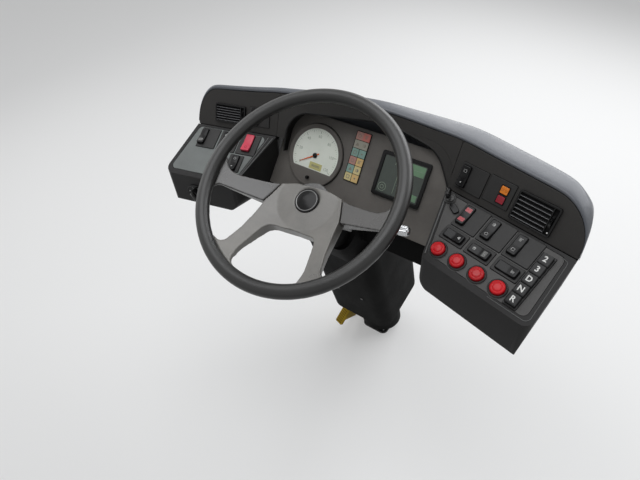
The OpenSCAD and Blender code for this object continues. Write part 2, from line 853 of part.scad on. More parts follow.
// Rotary switch on the left wing's front face: along the wing, and height
switch_at = [170, -shelf_fall - 52];
switch_r = 28;
switch_t = 3;
switch_knob_r = 15;
switch_knob_h = 16;
switch_grip = 8;
module headlamp_switch() {
    color(black) at_wing(-1) translate([switch_at[0], -shelf_run, switch_at[1]]) rotate([90, 0, 0]) {
        cylinder(r = switch_r, h = switch_t);
        cylinder(r = switch_knob_r, h = switch_knob_h);
        translate([-switch_grip / 2, -switch_knob_r, switch_t])
            cube([switch_grip, 2 * switch_knob_r, switch_knob_h + 3]);
    }
}

// Square switch plates and the rockers on them
plate_t = 2;
plate_round = 1.5;
plate_w = 51;
plate_l = 55;
rocker_w = 18;
rocker_l = 43;
rocker_h = 8;

module plate(x0, y0, x1, y1) {
    slab(x0, y0, x1, y1, 0, plate_t, plate_round);
}

// Rocker lying along y, pressed in at its far half
module rocker(x, y, w = rocker_w, l = rocker_l) {
    translate([x + w, y, plate_t]) rotate([90, 0, -90]) linear_extrude(w) mirror([1, 0]) polygon(rounded(
        [[0, 0], [l, 0], [l, rocker_h - 3], [l / 2, rocker_h - 4], [0, rocker_h]], [0, 0, 2, 20, 2], 4));
}

module rocker_across(x, y, w = rocker_w, l = rocker_l) {
    translate([x + l, y, 0]) rotate([0, 0, 90]) rocker(0, 0, w, l);
}

// Left wing: middles of the first row's plates, the two other plates, and the rockers' corners
left_plates = [62, 117, 174];
left_row_y = -10;
second_plate = [60, -114, 96, -70];
square_plate = [21, 16, 74, 60];
left_rockers = [[117, -58], [180, -58]];
second_rocker = [69, -112];
square_rocker = [50, 18];
short_rocker_l = 40;
hazard_at = [52, -57];
hazard_w = 22;
hazard_l = 46;
module rocker_plates_left() {
    color([0.2, 0.2, 0.2]) {
        on_shelf(-1) for (s = left_plates)
            plate(s - plate_w / 2, left_row_y - plate_l, s + plate_w / 2, left_row_y);
        on_shelf(-1) plate(second_plate[0], second_plate[1], second_plate[2], second_plate[3]);
        on_face(-1) plate(square_plate[0], square_plate[1], square_plate[2], square_plate[3]);
    }
}

module rockers_left() {
    color(black) {
        on_shelf(-1) for (q = left_rockers) rocker(q.x, q.y);
        on_shelf(-1) rocker(second_rocker.x, second_rocker.y, rocker_w, short_rocker_l);
        on_face(-1) rocker(square_rocker.x, square_rocker.y, rocker_w, short_rocker_l);
    }
}

module hazard_rocker() {
    color(red) on_shelf(-1) rocker(hazard_at.x, hazard_at.y, hazard_w, hazard_l);
}

// Right wing: left edges of the two rows' plates, the two plates on the face, and their details
upper_plates = [58.5, 115, 171];
upper_row = [-61, -6];
lower_plates = [56, 113.5, 172];
lower_row = [-94, -65];
upper_rocker = [4, -54];
lower_rocker = [5, -89];
lower_rocker_l = 41;
face_plate = [13, 12, 72, 64];
lamp_plate = [76, 16, 130, 66];
face_rocker = [17, 17];
small_lamps = [[104, 23], [104, 42]];
small_lamp_w = 15;
module rocker_plates_right() {
    color([0.2, 0.2, 0.2]) {
        on_shelf(1) for (s = upper_plates) plate(s, upper_row[0], s + plate_w + 1, upper_row[1]);
        on_shelf(1) for (s = lower_plates) plate(s, lower_row[0], s + plate_w, lower_row[1]);
        on_face(1) for (q = [face_plate, lamp_plate]) plate(q[0], q[1], q[2], q[3]);
    }
}

module rockers_right() {
    color(black) {
        on_shelf(1) for (s = upper_plates) rocker(s + upper_rocker.x, upper_rocker.y);
        on_shelf(1) for (s = lower_plates)
            rocker_across(s + lower_rocker.x, lower_rocker.y, rocker_w, lower_rocker_l);
        on_face(1) rocker(face_rocker.x, face_rocker.y);
    }
}

module indicator_lamps() {
    color([0.9, 0.4, 0.1]) on_face(1) for (q = small_lamps)
        slab(q.x, q.y, q.x + small_lamp_w, q.y + small_lamp_w, plate_t, plate_t + 2, 2);
}

// Ignition lock and its key
key_at = [22, -17];
lock_r = 10;
lock_h = 5;
key_blade = [3, 10, 9];
key_grip_r = 12;
key_grip_t = 6;
key_grip_z = 18;
module key_lock() {
    color(steel) on_shelf(1) translate(key_at) cylinder(r = lock_r, h = lock_h);
}

module ignition_key() {
    color(black) on_shelf(1) translate([key_at.x, key_at.y, lock_h]) {
        translate([-key_blade.x / 2, -key_blade.y / 2, 0]) cube(key_blade);
        translate([-key_grip_t / 2, 0, key_grip_z]) rotate([0, 90, 0])
            cylinder(r = key_grip_r, h = key_grip_t);
    }
}

// Row of round push buttons
buttons = 4;
button_at = [74, -118];
button_pitch = 43.8;
button_r = 14;
button_h = 10;
button_dome = 31;
button_ring_r = 18;
button_ring_h = 4;
module at_buttons() {
    on_shelf(1) for (k = [0:buttons - 1]) translate(button_at + [button_pitch * k, 0]) children();
}

module red_button_rings() {
    color([0.3, 0.3, 0.3]) at_buttons() difference() {
        cylinder(r = button_ring_r, h = button_ring_h);
        translate([0, 0, -1]) cylinder(r = button_r + loose, h = button_ring_h + 2);
    }
}

module red_buttons() {
    color(red) at_buttons() intersection() {
        cylinder(r = button_r, h = 2 * button_h);
        translate([0, 0, button_h - button_dome]) sphere(r = button_dome);
    }
}

// Strip with the gear keys
gears = 5;
gear_at = [228, -132];
gear_pitch = 22.4;
gear_w = 21;
gear_l = gear_pitch - 1;
gear_low = 7;
gear_high = 10;
module gear_strip() {
    color(black) on_shelf(1) slab(gear_at.x - 2, gear_at.y - 2, gear_at.x + gear_w + 2,
        gear_at.y + gears * gear_pitch + 2, 0, plate_t, plate_round);
}

module gear_keys() {
    color(black) on_shelf(1) for (k = [0:gears - 1])
        translate([gear_at.x, gear_at.y + gear_pitch * k, plate_t]) rotate([90, 0, 90]) linear_extrude(gear_w)
            polygon(rounded([[0, 0], [gear_l, 0], [gear_l, gear_high], [0, gear_low]], [0, 0, 1.5, 1.5], 3));
}

// Steering wheel
rim_faces = 96;
module rim_solid(gap) {
    rotate_extrude($fn = rim_faces) translate([ring_r, 0]) circle(rim_d / 2 + gap, $fn = 24);
}

module wheel_rim() {
    color(black) at_wheel() rim_solid(0);
}

// Dished body between the hub's flat face and the rim, with its face lowered by g
flat_r = 70;
module dish(g) {
    rotate_extrude($fn = rim_faces) polygon([
        [0, -hub_drop - g], [flat_r, -hub_drop - g], [ring_r - 3, -4 - g], [ring_r - 3, -11],
        [flat_r - 8, -hub_drop - pad_t], [0, -hub_drop - pad_t]]);
}

// Right half of the pad's outline, from the top over the lower spoke to the arch
pad_half = [
    [0, 30], [40, 29], [72, 20], [90, -30], [93, -62], [100, -104], [114, -153], [142, -142], [165, -160],
    [50, -224], [50, -194], [77, -180], [78, -150], [66, -105], [57, -76], [0, -72]
];
pad_radii = [0, 40, 4, 12, 60, 60, 14, 0, 0, 0, 0, 14, 40, 60, 22, 0];
side_spoke = [
    [74, 18.5], [95, 12], [124, 6.5], [155, 1.5], [189, -2], [204, 18], [215, 18], [215, -54], [203, -54],
    [189, -34.5], [140, -33.5], [109, -32.5], [92.3, -31.5]
];
side_radii = [2, 60, 60, 60, 9, 0, 0, 0, 0, 9, 60, 60, 2];
// Arms of the core that carry the side spokes, run in pockets under the pad
bar_y0 = -27;
bar_y1 = 9;
bar_t = 12;
bar_foot = 20;
bar_reach = 100;
bar_rise = 34;
core_low = hub_drop + core_l;
core_top = core_l - 9;
// How deep the shaft sits in the core, and the badge in the pad
shaft_seat = 24;
badge_seat = 3;
badge_t = 6;

module bar(gap) {
    x1 = bar_reach + gap;
    x0 = bar_reach - bar_foot - gap;
    low = -core_low - 1;
    high = -core_low + bar_rise;
    mid = -core_low + bar_t + gap;
    translate([0, bar_y1 + gap, 0]) rotate([90, 0, 0]) linear_extrude(bar_y1 - bar_y0 + 2 * gap)
        polygon([[0, low], [x1, low], [x1, high], [x0, high], [x0, mid], [0, mid]]);
}

module dished(outline, g) {
    difference() {
        intersection() {
            translate([0, 0, -far / 2]) linear_extrude(far) polygon(outline);
            dish(g);
        }
        rim_solid(touch);
    }
}

module wheel_spokes() {
    color(spoke_grey) at_wheel() rotate([0, 0, wheel_turn]) difference() {
        union() {
            translate([0, 0, -core_low]) cylinder(r = core_r, h = core_top);
            for (side = [0, 1]) mirror([side, 0, 0]) {
                dished(rounded(side_spoke, side_radii), 2);
                intersection() {
                    bar(0);
                    above(-core_low);
                }
            }
        }
        translate([0, 0, -core_low - 1]) cylinder(r = shaft_r, h = shaft_seat + 2);
    }
}

module hub_pad() {
    color(spoke_grey) at_wheel() rotate([0, 0, wheel_turn]) difference() {
        dished(rounded(both_sides(pad_half), both_radii(pad_half, pad_radii)), 0);
        translate([0, 0, -core_low - 1]) cylinder(r = core_r + loose, h = core_top + 1 + loose);
        translate([0, 0, -hub_drop - badge_seat]) cylinder(r = badge_r + fit_gap, h = 10);
        for (side = [0, 1]) mirror([side, 0, 0]) bar(loose);
    }
}

module wheel_badge() {
    color(black) at_wheel() translate([0, 0, -hub_drop - badge_seat]) cylinder(r = badge_r, h = badge_t);
}

module steering_shaft() {
    color(steel) at_wheel() translate([0, 0, -head_top - head_len + 2])
        cylinder(r = shaft_r - fit_gap, h = head_top + head_len - 2 - core_low + shaft_seat);
}

foot_plate();
pivot_pin();
release_pedal();
lower_tube();
lower_shroud();
upper_tube();
upper_shroud();
column_head();
head_cover();
support_beam();
lever();
lever_tip();
cowl();
face_centre();
face_left();
face_right();
shelf_left();
shelf_right();
tray_left();
tray_right();
cluster_hood();
instrument_panel();
lower_panel();
speedometer_bezel();
speedometer_dial();
trip_knob();
lamp_block();
display_bezel();
display_screen();
vent_left();
vent_right();
headlamp_switch();
rocker_plates_left();
rockers_left();
hazard_rocker();
rocker_plates_right();
rockers_right();
indicator_lamps();
key_lock();
ignition_key();
red_button_rings();
red_buttons();
gear_strip();
gear_keys();
wheel_rim();
wheel_spokes();
hub_pad();
wheel_badge();
steering_shaft();
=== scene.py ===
import bmesh
import bpy
import json
import math
from mathutils import Matrix, Vector


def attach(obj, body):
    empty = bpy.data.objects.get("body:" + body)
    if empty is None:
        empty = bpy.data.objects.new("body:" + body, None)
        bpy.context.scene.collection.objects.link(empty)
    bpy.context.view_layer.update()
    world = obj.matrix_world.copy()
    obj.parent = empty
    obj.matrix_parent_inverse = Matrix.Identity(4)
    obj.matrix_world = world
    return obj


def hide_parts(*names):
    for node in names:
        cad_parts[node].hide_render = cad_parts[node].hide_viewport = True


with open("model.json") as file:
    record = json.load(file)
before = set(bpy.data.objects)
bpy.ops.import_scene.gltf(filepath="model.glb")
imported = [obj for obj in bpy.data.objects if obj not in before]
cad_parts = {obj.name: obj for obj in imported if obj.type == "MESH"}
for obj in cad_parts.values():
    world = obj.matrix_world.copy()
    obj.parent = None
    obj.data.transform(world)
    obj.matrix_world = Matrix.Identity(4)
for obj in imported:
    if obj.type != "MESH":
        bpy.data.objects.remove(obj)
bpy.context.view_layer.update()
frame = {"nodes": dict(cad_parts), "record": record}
nodes = frame["nodes"]

# The camera stands where the photograph's vanishing points put it
CAMERA_AT = (0.4827, -0.9173, 1.4200)
CAMERA_RIGHT = (0.8098, 0.5842, -0.0539)
CAMERA_UP = (-0.3764, 0.5878, 0.7161)
CAMERA_BACK = (0.4501, -0.5596, 0.6959)
CAMERA_LENS = 26.13
SENSOR_W = 36

# Floor and background
FLOOR_HALF = 6
FLOOR_Z = -0.0005
WHITE = (0.95, 0.95, 0.95, 1)
WORLD_SOFT = 0.22
FLOOR_GLOW = 0.35
DAYLIGHT = (0.97, 0.98, 1)
LIGHTS = (
    ("sky", (-0.2, -0.5, 3.2), (0, -0.2, 0.8), (2.2, 2.2), 44, DAYLIGHT),
    ("windscreen", (0.8, 2.4, 2.25), (0, -0.2, 0.8), (4.2, 1.8), 100, DAYLIGHT),
    ("side", (-2.4, -0.3, 1.9), (0, -0.3, 0.8), (1.8, 1.8), 11, (1, 1, 1)),
)

# Driving sizes of the model, in millimetres and degrees
LEFT, RIGHT = -1, 1
WHEEL_AT = (0, -376, 867)
WHEEL_TILT = 28.4
WHEEL_TURN = 6.4
RING_R = 210.5
RIM_R = 14.5
HUB_DROP = 58
BADGE_R = 27
BADGE_Y = -3
PIVOT_Z = 60
COLUMN_LEAN = 16
COLUMN_FRONT = -106
COLUMN_SIDE = 105.9
SEAM_FROM, SEAM_TO = 185, 520
COVER_SCREWS = ((-40, 339), (40, 339))
PEDAL_AT = (-91, -95, 78)
PEDAL_TURN, PEDAL_TILT = -18, 53
PEDAL_TOP = 8
DASH_AT = (-32, -340, 830)
LEFT_JOINT = (-167, 134)
RIGHT_JOINT = (259, 163)
CREASE_Z = -4
WING_TURN = 14
SHELF_TILT = 25
FACE_TILT = 67
PANEL_AT = (0, 148, -30)
PANEL_TILT = 56.6
SHELF_L = 149
SHELF_RUN = SHELF_L * math.cos(math.radians(SHELF_TILT))
SHELF_FALL = SHELF_L * math.sin(math.radians(SHELF_TILT))

# Trays of the two wings
TRAY_LOW = -SHELF_FALL - 87
TRAY_LENGTH = {LEFT: 220, RIGHT: 276}
TRAY_FLARE = {LEFT: 34, RIGHT: 12}
TRAY_BACK = {LEFT: 66, RIGHT: 94}
TRAY_TAPER = {LEFT: 0, RIGHT: 30}
TRAY_END_BACK = 12
TRAY_DRAFT = 8
LOW_ROUND_OUT = 26
LOW_ROUND_FRONT = 9

# Instruments on the panel
SPEEDO_AT = (-62, 0)
SPEEDO_R = 74
DIAL_R = 63
DIAL_Z = 3
APRON_Y = -34
DIAL_START = 212
DIAL_SWEEP = 244
DIAL_TOP = 120
FIGURES_R = 44.5
LAMP_BOX = (26, -29, 64, 85)
LAMP_ROWS = (
    ("lamp_rose", "lamp_red"), ("lamp_grey", "lamp_grey"), ("lamp_teal", "lamp_teal"),
    ("lamp_rose", "lamp_amber"), ("lamp_teal", "lamp_cream"), ("lamp_cream", "lamp_amber"),
)
LAMP_SIGNS = ("ring", "bars", "wedge", "lamp", "box", "dot")
DISPLAY_BOX = (102, -34, 217, 64)
DISPLAY_FRAME = 8

# Opening of the instrument recess on the centre face, as the solid has it and as the photograph shows it
RECESS_LEFT, RECESS_RIGHT = (24, -30), (430, -30)
RECESS_WIDE = [RECESS_LEFT, (24, 66), (240, 92), (430, 80), RECESS_RIGHT]
RECESS_WIDE_ROUNDS = [0, 62, 120, 66, 0]
RECESS_SEEN = [RECESS_LEFT, (24, 66), (240, 92), (304, 87.96), (391, 66), (428, 3), RECESS_RIGHT]
RECESS_SEEN_ROUNDS = [0, 62, 120, 150, 70, 30, 0]
BROW_FROM = 297

# Controls on the faces, shelves and trays
PLATE_T = 2
VENT_LEFT = (85, 14, 168, 58)
VENT_RIGHT = (138, 9, 218, 66)
SWITCH_AT = (170, -SHELF_FALL - 52)
SWITCH_TURN = -28
KEY_AT = (22, -17)
BUTTONS = tuple((74 + 43.8 * k, -118) for k in range(4))
BUTTON_SIGNS = ("ring", "lamp", "box", "bars")
BUTTON_R = 14
GEAR_AT = (228, -132)
GEAR_PITCH = 22.4
GEARS = "RND32"
LEVER_ROOT = (48, 3, -131)
LEVER_END = (205, 38, -122)
LEVER_KNOB_L = 27

# Thin things: how far a piece stands off what it lies on, and how thick print is
LIFT = 0.1
HAIR = 0.02
PRINT_T = 0.14

# Corners sharper than this are edges, and get a bevel of so many segments
SHARP = 35
BEVEL_SEGMENTS = 3


def turned(axis, degrees):
    return Matrix.Rotation(math.radians(degrees), 4, axis)


def moved(x, y, z=0):
    return Matrix.Translation((x, y, z))


def mirrored_x():
    return Matrix.Scale(-1, 4, (1, 0, 0))


def from_dash(x, y, z):
    return moved(DASH_AT[0] + x, DASH_AT[1] + y, DASH_AT[2] + z)


def wing_space(side):
    """A wing's frame: x outward along the crease, y toward the windscreen, z up."""
    joint = LEFT_JOINT if side == LEFT else RIGHT_JOINT
    space = from_dash(joint[0], joint[1], CREASE_Z) @ turned("Z", -side * WING_TURN)
    return space @ mirrored_x() if side == LEFT else space


def centre_space():
    """The centre face's frame: x along the crease between the joints, y up the face."""
    run = RIGHT_JOINT[0] - LEFT_JOINT[0]
    rise = RIGHT_JOINT[1] - LEFT_JOINT[1]
    crease = turned("Z", math.degrees(math.atan2(rise, run)))
    return from_dash(LEFT_JOINT[0], LEFT_JOINT[1], CREASE_Z) @ crease @ turned("X", FACE_TILT)


WING = {side: wing_space(side) for side in (LEFT, RIGHT)}
SHELF = {side: WING[side] @ turned("X", SHELF_TILT) for side in (LEFT, RIGHT)}
FACE = {side: WING[side] @ turned("X", FACE_TILT) for side in (LEFT, RIGHT)}
CENTRE = centre_space()
PANEL = from_dash(*PANEL_AT) @ turned("X", PANEL_TILT)
WHEEL = moved(*WHEEL_AT) @ turned("X", WHEEL_TILT)
SPOKED = WHEEL @ turned("Z", WHEEL_TURN)
COLUMN = moved(0, 0, PIVOT_Z) @ turned("X", COLUMN_LEAN)
METRES = Matrix.Scale(0.001, 4)

# Heights of a rocker: its dip, and how far its near and far ends rise over it
ROCKER_DIP, ROCKER_NEAR, ROCKER_FAR = 4, 4, 1

# Rockers: space, near left corner, width, length, whether it lies along x, signs, node that it replaces
ROCKERS = (
    (SHELF[RIGHT], 62.5, -54, 18, 43, False, "windows", "rockers_right"),
    (SHELF[RIGHT], 119, -54, 18, 43, False, "ring lamp", None),
    (SHELF[RIGHT], 175, -54, 18, 43, False, "box bars", None),
    (SHELF[RIGHT], 61, -89, 18, 41, True, "wedge", None),
    (SHELF[RIGHT], 118.5, -89, 18, 41, True, "window lamp", None),
    (SHELF[RIGHT], 177, -89, 18, 41, True, "bars", None),
    (FACE[RIGHT], 17, 17, 18, 43, False, "dot box", None),
    (SHELF[LEFT], 117, -58, 18, 43, False, "bars lamp", "rockers_left"),
    (SHELF[LEFT], 180, -58, 18, 43, False, "window", None),
    (SHELF[LEFT], 69, -112, 18, 40, False, "dot ring", None),
    (FACE[LEFT], 50, 18, 18, 40, False, "ring box", None),
    (SHELF[LEFT], 52, -57, 22, 46, False, "ring", "hazard_rocker"),
)


def linked(name, data):
    """New object in the scene."""
    obj = bpy.data.objects.new(name, data)
    bpy.context.scene.collection.objects.link(obj)
    return obj


def modify(obj, name, kind, **settings):
    """Adds a modifier with its settings."""
    modifier = obj.modifiers.new(name, kind)
    for key, value in settings.items():
        setattr(modifier, key, value)


def make_camera():
    data = bpy.data.cameras.new("camera")
    data.lens = CAMERA_LENS
    data.sensor_width = SENSOR_W
    data.sensor_fit = "HORIZONTAL"
    data.clip_start = 0.01
    obj = linked("camera", data)
    axes = Matrix((CAMERA_RIGHT, CAMERA_UP, CAMERA_BACK)).transposed().to_4x4()
    obj.matrix_world = Matrix.Translation(CAMERA_AT) @ axes
    bpy.context.scene.camera = obj


def area_light(name, at, target, size, power, color):
    data = bpy.data.lights.new(name, "AREA")
    data.shape = "RECTANGLE"
    data.size, data.size_y = size
    data.energy = power
    data.color = color
    obj = linked(name, data)
    obj.location = at
    obj.rotation_euler = (Vector(target) - Vector(at)).to_track_quat("-Z", "Y").to_euler()


def set_inputs(node, values):
    """Sets the inputs of a shader node."""
    for key, value in values.items():
        node.inputs[key].default_value = value


def add_node(tree, kind, values=None):
    """New shader node in a tree."""
    node = tree.nodes.new("ShaderNode" + kind)
    set_inputs(node, values or {})
    return node


def seen_rays(tree):
    """1 for the rays that show a thing: those of the camera, and what gloss and glass pass on."""
    path = add_node(tree, "LightPath")
    rays = path.outputs["Is Camera Ray"]
    for kind in ("Is Glossy Ray", "Is Transmission Ray"):
        either = add_node(tree, "Math")
        either.operation = "MAXIMUM"
        tree.links.new(rays, either.inputs[0])
        tree.links.new(path.outputs[kind], either.inputs[1])
        rays = either.outputs[0]
    return rays


def make_world():
    """Soft even light, with a white background for the camera and for what glass and metal show."""
    world = bpy.data.worlds.new("studio")
    bpy.context.scene.world = world
    world.use_nodes = True
    tree = world.node_tree
    tree.nodes.clear()
    out = add_node(tree, "OutputWorld")
    soft = add_node(tree, "Background", {"Color": (0.94, 0.97, 1, 1), "Strength": WORLD_SOFT})
    seen = add_node(tree, "Background", {"Color": WHITE, "Strength": 1})
    mix = add_node(tree, "MixShader")
    tree.links.new(seen_rays(tree), mix.inputs[0])
    tree.links.new(soft.outputs[0], mix.inputs[1])
    tree.links.new(seen.outputs[0], mix.inputs[2])
    tree.links.new(mix.outputs[0], out.inputs["Surface"])


def floor_material():
    """Pale floor that glows a little where it is seen, and throws less light on the part."""
    mat = bpy.data.materials.new("floor")
    mat.use_nodes = True
    tree = mat.node_tree
    shader = tree.nodes["Principled BSDF"]
    set_inputs(shader, {"Roughness": 0.85, "Emission Color": WHITE})
    seen = seen_rays(tree)
    tone = add_node(tree, "ValToRGB")
    tone.color_ramp.elements[0].color = (0.36, 0.36, 0.35, 1)
    tone.color_ramp.elements[1].color = (0.46, 0.46, 0.455, 1)
    tree.links.new(seen, tone.inputs["Fac"])
    tree.links.new(tone.outputs["Color"], shader.inputs["Base Color"])
    glow = add_node(tree, "Math")
    glow.operation = "MULTIPLY"
    glow.inputs[1].default_value = FLOOR_GLOW
    tree.links.new(seen, glow.inputs[0])
    tree.links.new(glow.outputs[0], shader.inputs["Emission Strength"])
    return mat


def make_floor():
    mesh = bpy.data.meshes.new("floor")
    r, z = FLOOR_HALF, FLOOR_Z
    mesh.from_pydata([(-r, -r, z), (r, -r, z), (r, r, z), (-r, r, z)], [], [(0, 1, 2, 3)])
    mesh.materials.append(floor_material())
    linked("floor", mesh)


def moulded(name, color, rough, grain, bump, tint, specular=0.5, coat=0, metal=0):
    """Plastic, paint or metal with a fine grain, and faint patches in colour and gloss."""
    mat = bpy.data.materials.new(name)
    mat.use_nodes = True
    tree = mat.node_tree
    join = tree.links.new
    shader = tree.nodes["Principled BSDF"]
    set_inputs(shader, {"Metallic": metal, "Specular IOR Level": specular})
    set_inputs(shader, {"Coat Weight": coat, "Coat Roughness": 0.2})
    where = add_node(tree, "TexCoord")
    patches = add_node(tree, "TexNoise", {"Scale": 9, "Detail": 6, "Roughness": 0.65})
    join(where.outputs["Object"], patches.inputs["Vector"])
    shade = add_node(tree, "ValToRGB")
    low = tuple(c * (1 - tint * 2.5) for c in color)
    high = tuple(min(1, c * (1 + tint * 2.5)) for c in color)
    shade.color_ramp.elements[0].position = 0.32
    shade.color_ramp.elements[0].color = (*low, 1)
    shade.color_ramp.elements[1].position = 0.68
    shade.color_ramp.elements[1].color = (*high, 1)
    join(patches.outputs["Fac"], shade.inputs["Fac"])
    join(shade.outputs["Color"], shader.inputs["Base Color"])
    gloss = add_node(tree, "MapRange", {"From Min": 0.3, "From Max": 0.7})
    set_inputs(gloss, {"To Min": max(0.03, rough - 0.07), "To Max": min(1, rough + 0.07)})
    join(patches.outputs["Fac"], gloss.inputs["Value"])
    join(gloss.outputs["Result"], shader.inputs["Roughness"])
    fine = add_node(tree, "TexVoronoi", {"Scale": grain})
    join(where.outputs["Object"], fine.inputs["Vector"])
    bumps = add_node(tree, "Bump", {"Strength": bump, "Distance": 0.0006})
    join(fine.outputs["Distance"], bumps.inputs["Height"])
    join(bumps.outputs["Normal"], shader.inputs["Normal"])
    return mat


def brushed(name, color, rough):
    return moulded(name, color, rough, 260, 0.05, 0.03, 0.5, 0, 1)


def printed(name, color, rough=0.6, tint=0.02):
    return moulded(name, color, rough, 600, 0, tint)


def stamped(name, color):
    return moulded(name, color, 0.4, 500, 0, 0.05)


def lens(name, color, rough, specular=0.5):
    return moulded(name, color, rough, 500, 0.03, 0.08, specular)


def lamp(name, color):
    return moulded(name, color, 0.4, 900, 0.02, 0.05)


MATERIALS = {
    "rim": moulded("rim_soft_plastic", (0.0135, 0.0135, 0.013), 0.36, 800, 0.22, 0.1, 0.44),
    "pad": moulded("pad_plastic", (0.15, 0.143, 0.13), 0.33, 1400, 0.16, 0.1, 0.6),
    "spoke": moulded("spoke_plastic", (0.044, 0.042, 0.04), 0.26, 1400, 0.16, 0.08, 0.6),
    "badge": moulded("badge_plastic", (0.003, 0.003, 0.0035), 0.2, 900, 0.02, 0.06, 0.2),
    "badge_metal": brushed("badge_metal", (0.2, 0.2, 0.2), 0.35),
    # cowl: dark plastic lightened and tinted blue, partly its own colour and partly a painted reflection of
    # the sky on its top
    "cowl": moulded("cowl_plastic", (0.062, 0.068, 0.08), 0.44, 1300, 0.08, 0.05, 0.5, 0.15),
    "face": moulded("face_plastic", (0.024, 0.0225, 0.021), 0.55, 1200, 0.3, 0.08, 0.3),
    # left shelf: the right shelf's plastic made much paler, a painted sheen of window light on it
    "shelf": moulded("shelf_plastic", (0.12, 0.132, 0.127), 0.46, 1200, 0.3, 0.08),
    "shelf_right": moulded("right_shelf_plastic", (0.034, 0.0325, 0.031), 0.48, 1200, 0.3, 0.08, 0.4),
    # trays: darker than the shelves' plastic, painted shade for their shaded front faces
    "tray": moulded("tray_plastic_painted_shade", (0.017, 0.0165, 0.0165), 0.55, 1200, 0.2, 0.08, 0.2),
    "panel": moulded("panel_plastic", (0.136, 0.126, 0.115), 0.55, 1200, 0.25, 0.08, 0.3),
    # near black: painted shade under the dashboard, on the column's covers and the lower panel
    "cover": moulded("cover_plastic", (0.003, 0.003, 0.003), 0.62, 1200, 0.12, 0.08, 0.04),
    "plate": moulded("plate_plastic", (0.026, 0.0255, 0.025), 0.5, 1200, 0.25, 0.06, 0.25),
    "black": moulded("black_plastic", (0.003, 0.003, 0.0034), 0.24, 1200, 0.06, 0.05, 0.2),
    "deep": moulded("deep_black", (0.004, 0.004, 0.004), 0.7, 600, 0.05, 0.05, 0.1),
    "ring": moulded("ring_plastic", (0.02, 0.0195, 0.019), 0.35, 900, 0.08, 0.05, 0.35),
    "slat": moulded("slat_plastic", (0.012, 0.012, 0.013), 0.4, 900, 0.05, 0.05, 0.3),
    # pale tubes on the slats' front edges: a painted highlight
    "slat_painted_highlight": moulded("slat_painted_highlights", (0.11, 0.11, 0.115), 0.4, 900, 0.05, 0.05),
    # near black: painted shade on the hood and on the lip along the recess, where the hood's inner wall
    # lies in shadow
    "lip": moulded("lip_painted_shade", (0.006, 0.006, 0.006), 0.38, 900, 0.1, 0.05, 0.2),
    # beads: on the darker right shelf this pale colour is a painted highlight along the ridges
    "bead": moulded("bead_pale_highlight", (0.09, 0.092, 0.09), 0.42, 900, 0.1, 0.06),
    "paint": moulded("black_paint", (0.01, 0.01, 0.01), 0.42, 400, 0.1, 0.1, 0.2),
    "steel": brushed("zinc_steel", (0.4, 0.4, 0.41), 0.4),
    "chrome": brushed("chrome", (0.5, 0.51, 0.52), 0.22),
    "screw": brushed("dark_screw", (0.1, 0.1, 0.1), 0.4),
    "yellow": moulded("yellow_plastic", (0.5, 0.33, 0.02), 0.5, 900, 0.15, 0.1, 0.2),
    "yellow_dark": moulded("yellow_ribs", (0.13, 0.08, 0.006), 0.5, 900, 0.15, 0.1, 0.2),
    "dial": moulded("dial_face", (0.9, 0.95, 0.84), 0.45, 900, 0.02, 0.03, 0.5, 0.3),
    "apron": moulded("dial_apron", (0.12, 0.11, 0.1), 0.5, 1200, 0.1, 0.05, 0.3),
    "needle": printed("needle_orange", (0.75, 0.14, 0.02), 0.5),
    "counter": moulded("yellow_counter", (0.62, 0.58, 0.25), 0.4, 900, 0, 0.04),
    "screen": moulded("screen_glass", (0.03, 0.045, 0.034), 0.14, 500, 0, 0.12, 0.4, 0.3),
    "screen_green": moulded("screen_green", (0.14, 0.27, 0.15), 0.2, 500, 0, 0.12),
    "screen_pale": moulded("screen_pale", (0.2, 0.26, 0.19), 0.3, 500, 0, 0.05),
    "smoke": moulded("smoked_lens", (0.09, 0.09, 0.085), 0.2, 500, 0, 0.05),
    "red": lens("red_cap", (0.52, 0.003, 0.008), 0.32, 0.3),
    "orange": lens("orange_lens", (0.8, 0.22, 0.01), 0.25),
    "dark_red": lens("dark_red_lens", (0.3, 0.015, 0.03), 0.2),
    "hazard": lens("hazard_red", (0.6, 0.045, 0.085), 0.32, 0.35),
    "lamp_rose": lamp("lamp_rose", (0.46, 0.24, 0.2)),
    "lamp_red": lamp("lamp_red", (0.58, 0.17, 0.14)),
    "lamp_grey": lamp("lamp_grey", (0.36, 0.34, 0.28)),
    "lamp_teal": lamp("lamp_teal", (0.23, 0.37, 0.32)),
    "lamp_amber": lamp("lamp_amber", (0.68, 0.47, 0.2)),
    "lamp_cream": lamp("lamp_cream", (0.66, 0.56, 0.28)),
    "print_white": printed("white_print", (0.78, 0.78, 0.75)),
    "print_pale": printed("pale_print", (0.42, 0.47, 0.38), 0.5),
    "print_soft": printed("soft_print", (0.36, 0.36, 0.35)),
    "print_faint": printed("faint_print", (0.24, 0.22, 0.18)),
    "print_grey": printed("grey_print", (0.2, 0.2, 0.19)),
    "print_red": printed("red_print", (0.55, 0.03, 0.03), 0.5, 0.04),
    "sign_red": stamped("stamped_red", (0.26, 0.004, 0.008)),
    "sign_brown": stamped("stamped_brown", (0.3, 0.08, 0.01)),
}


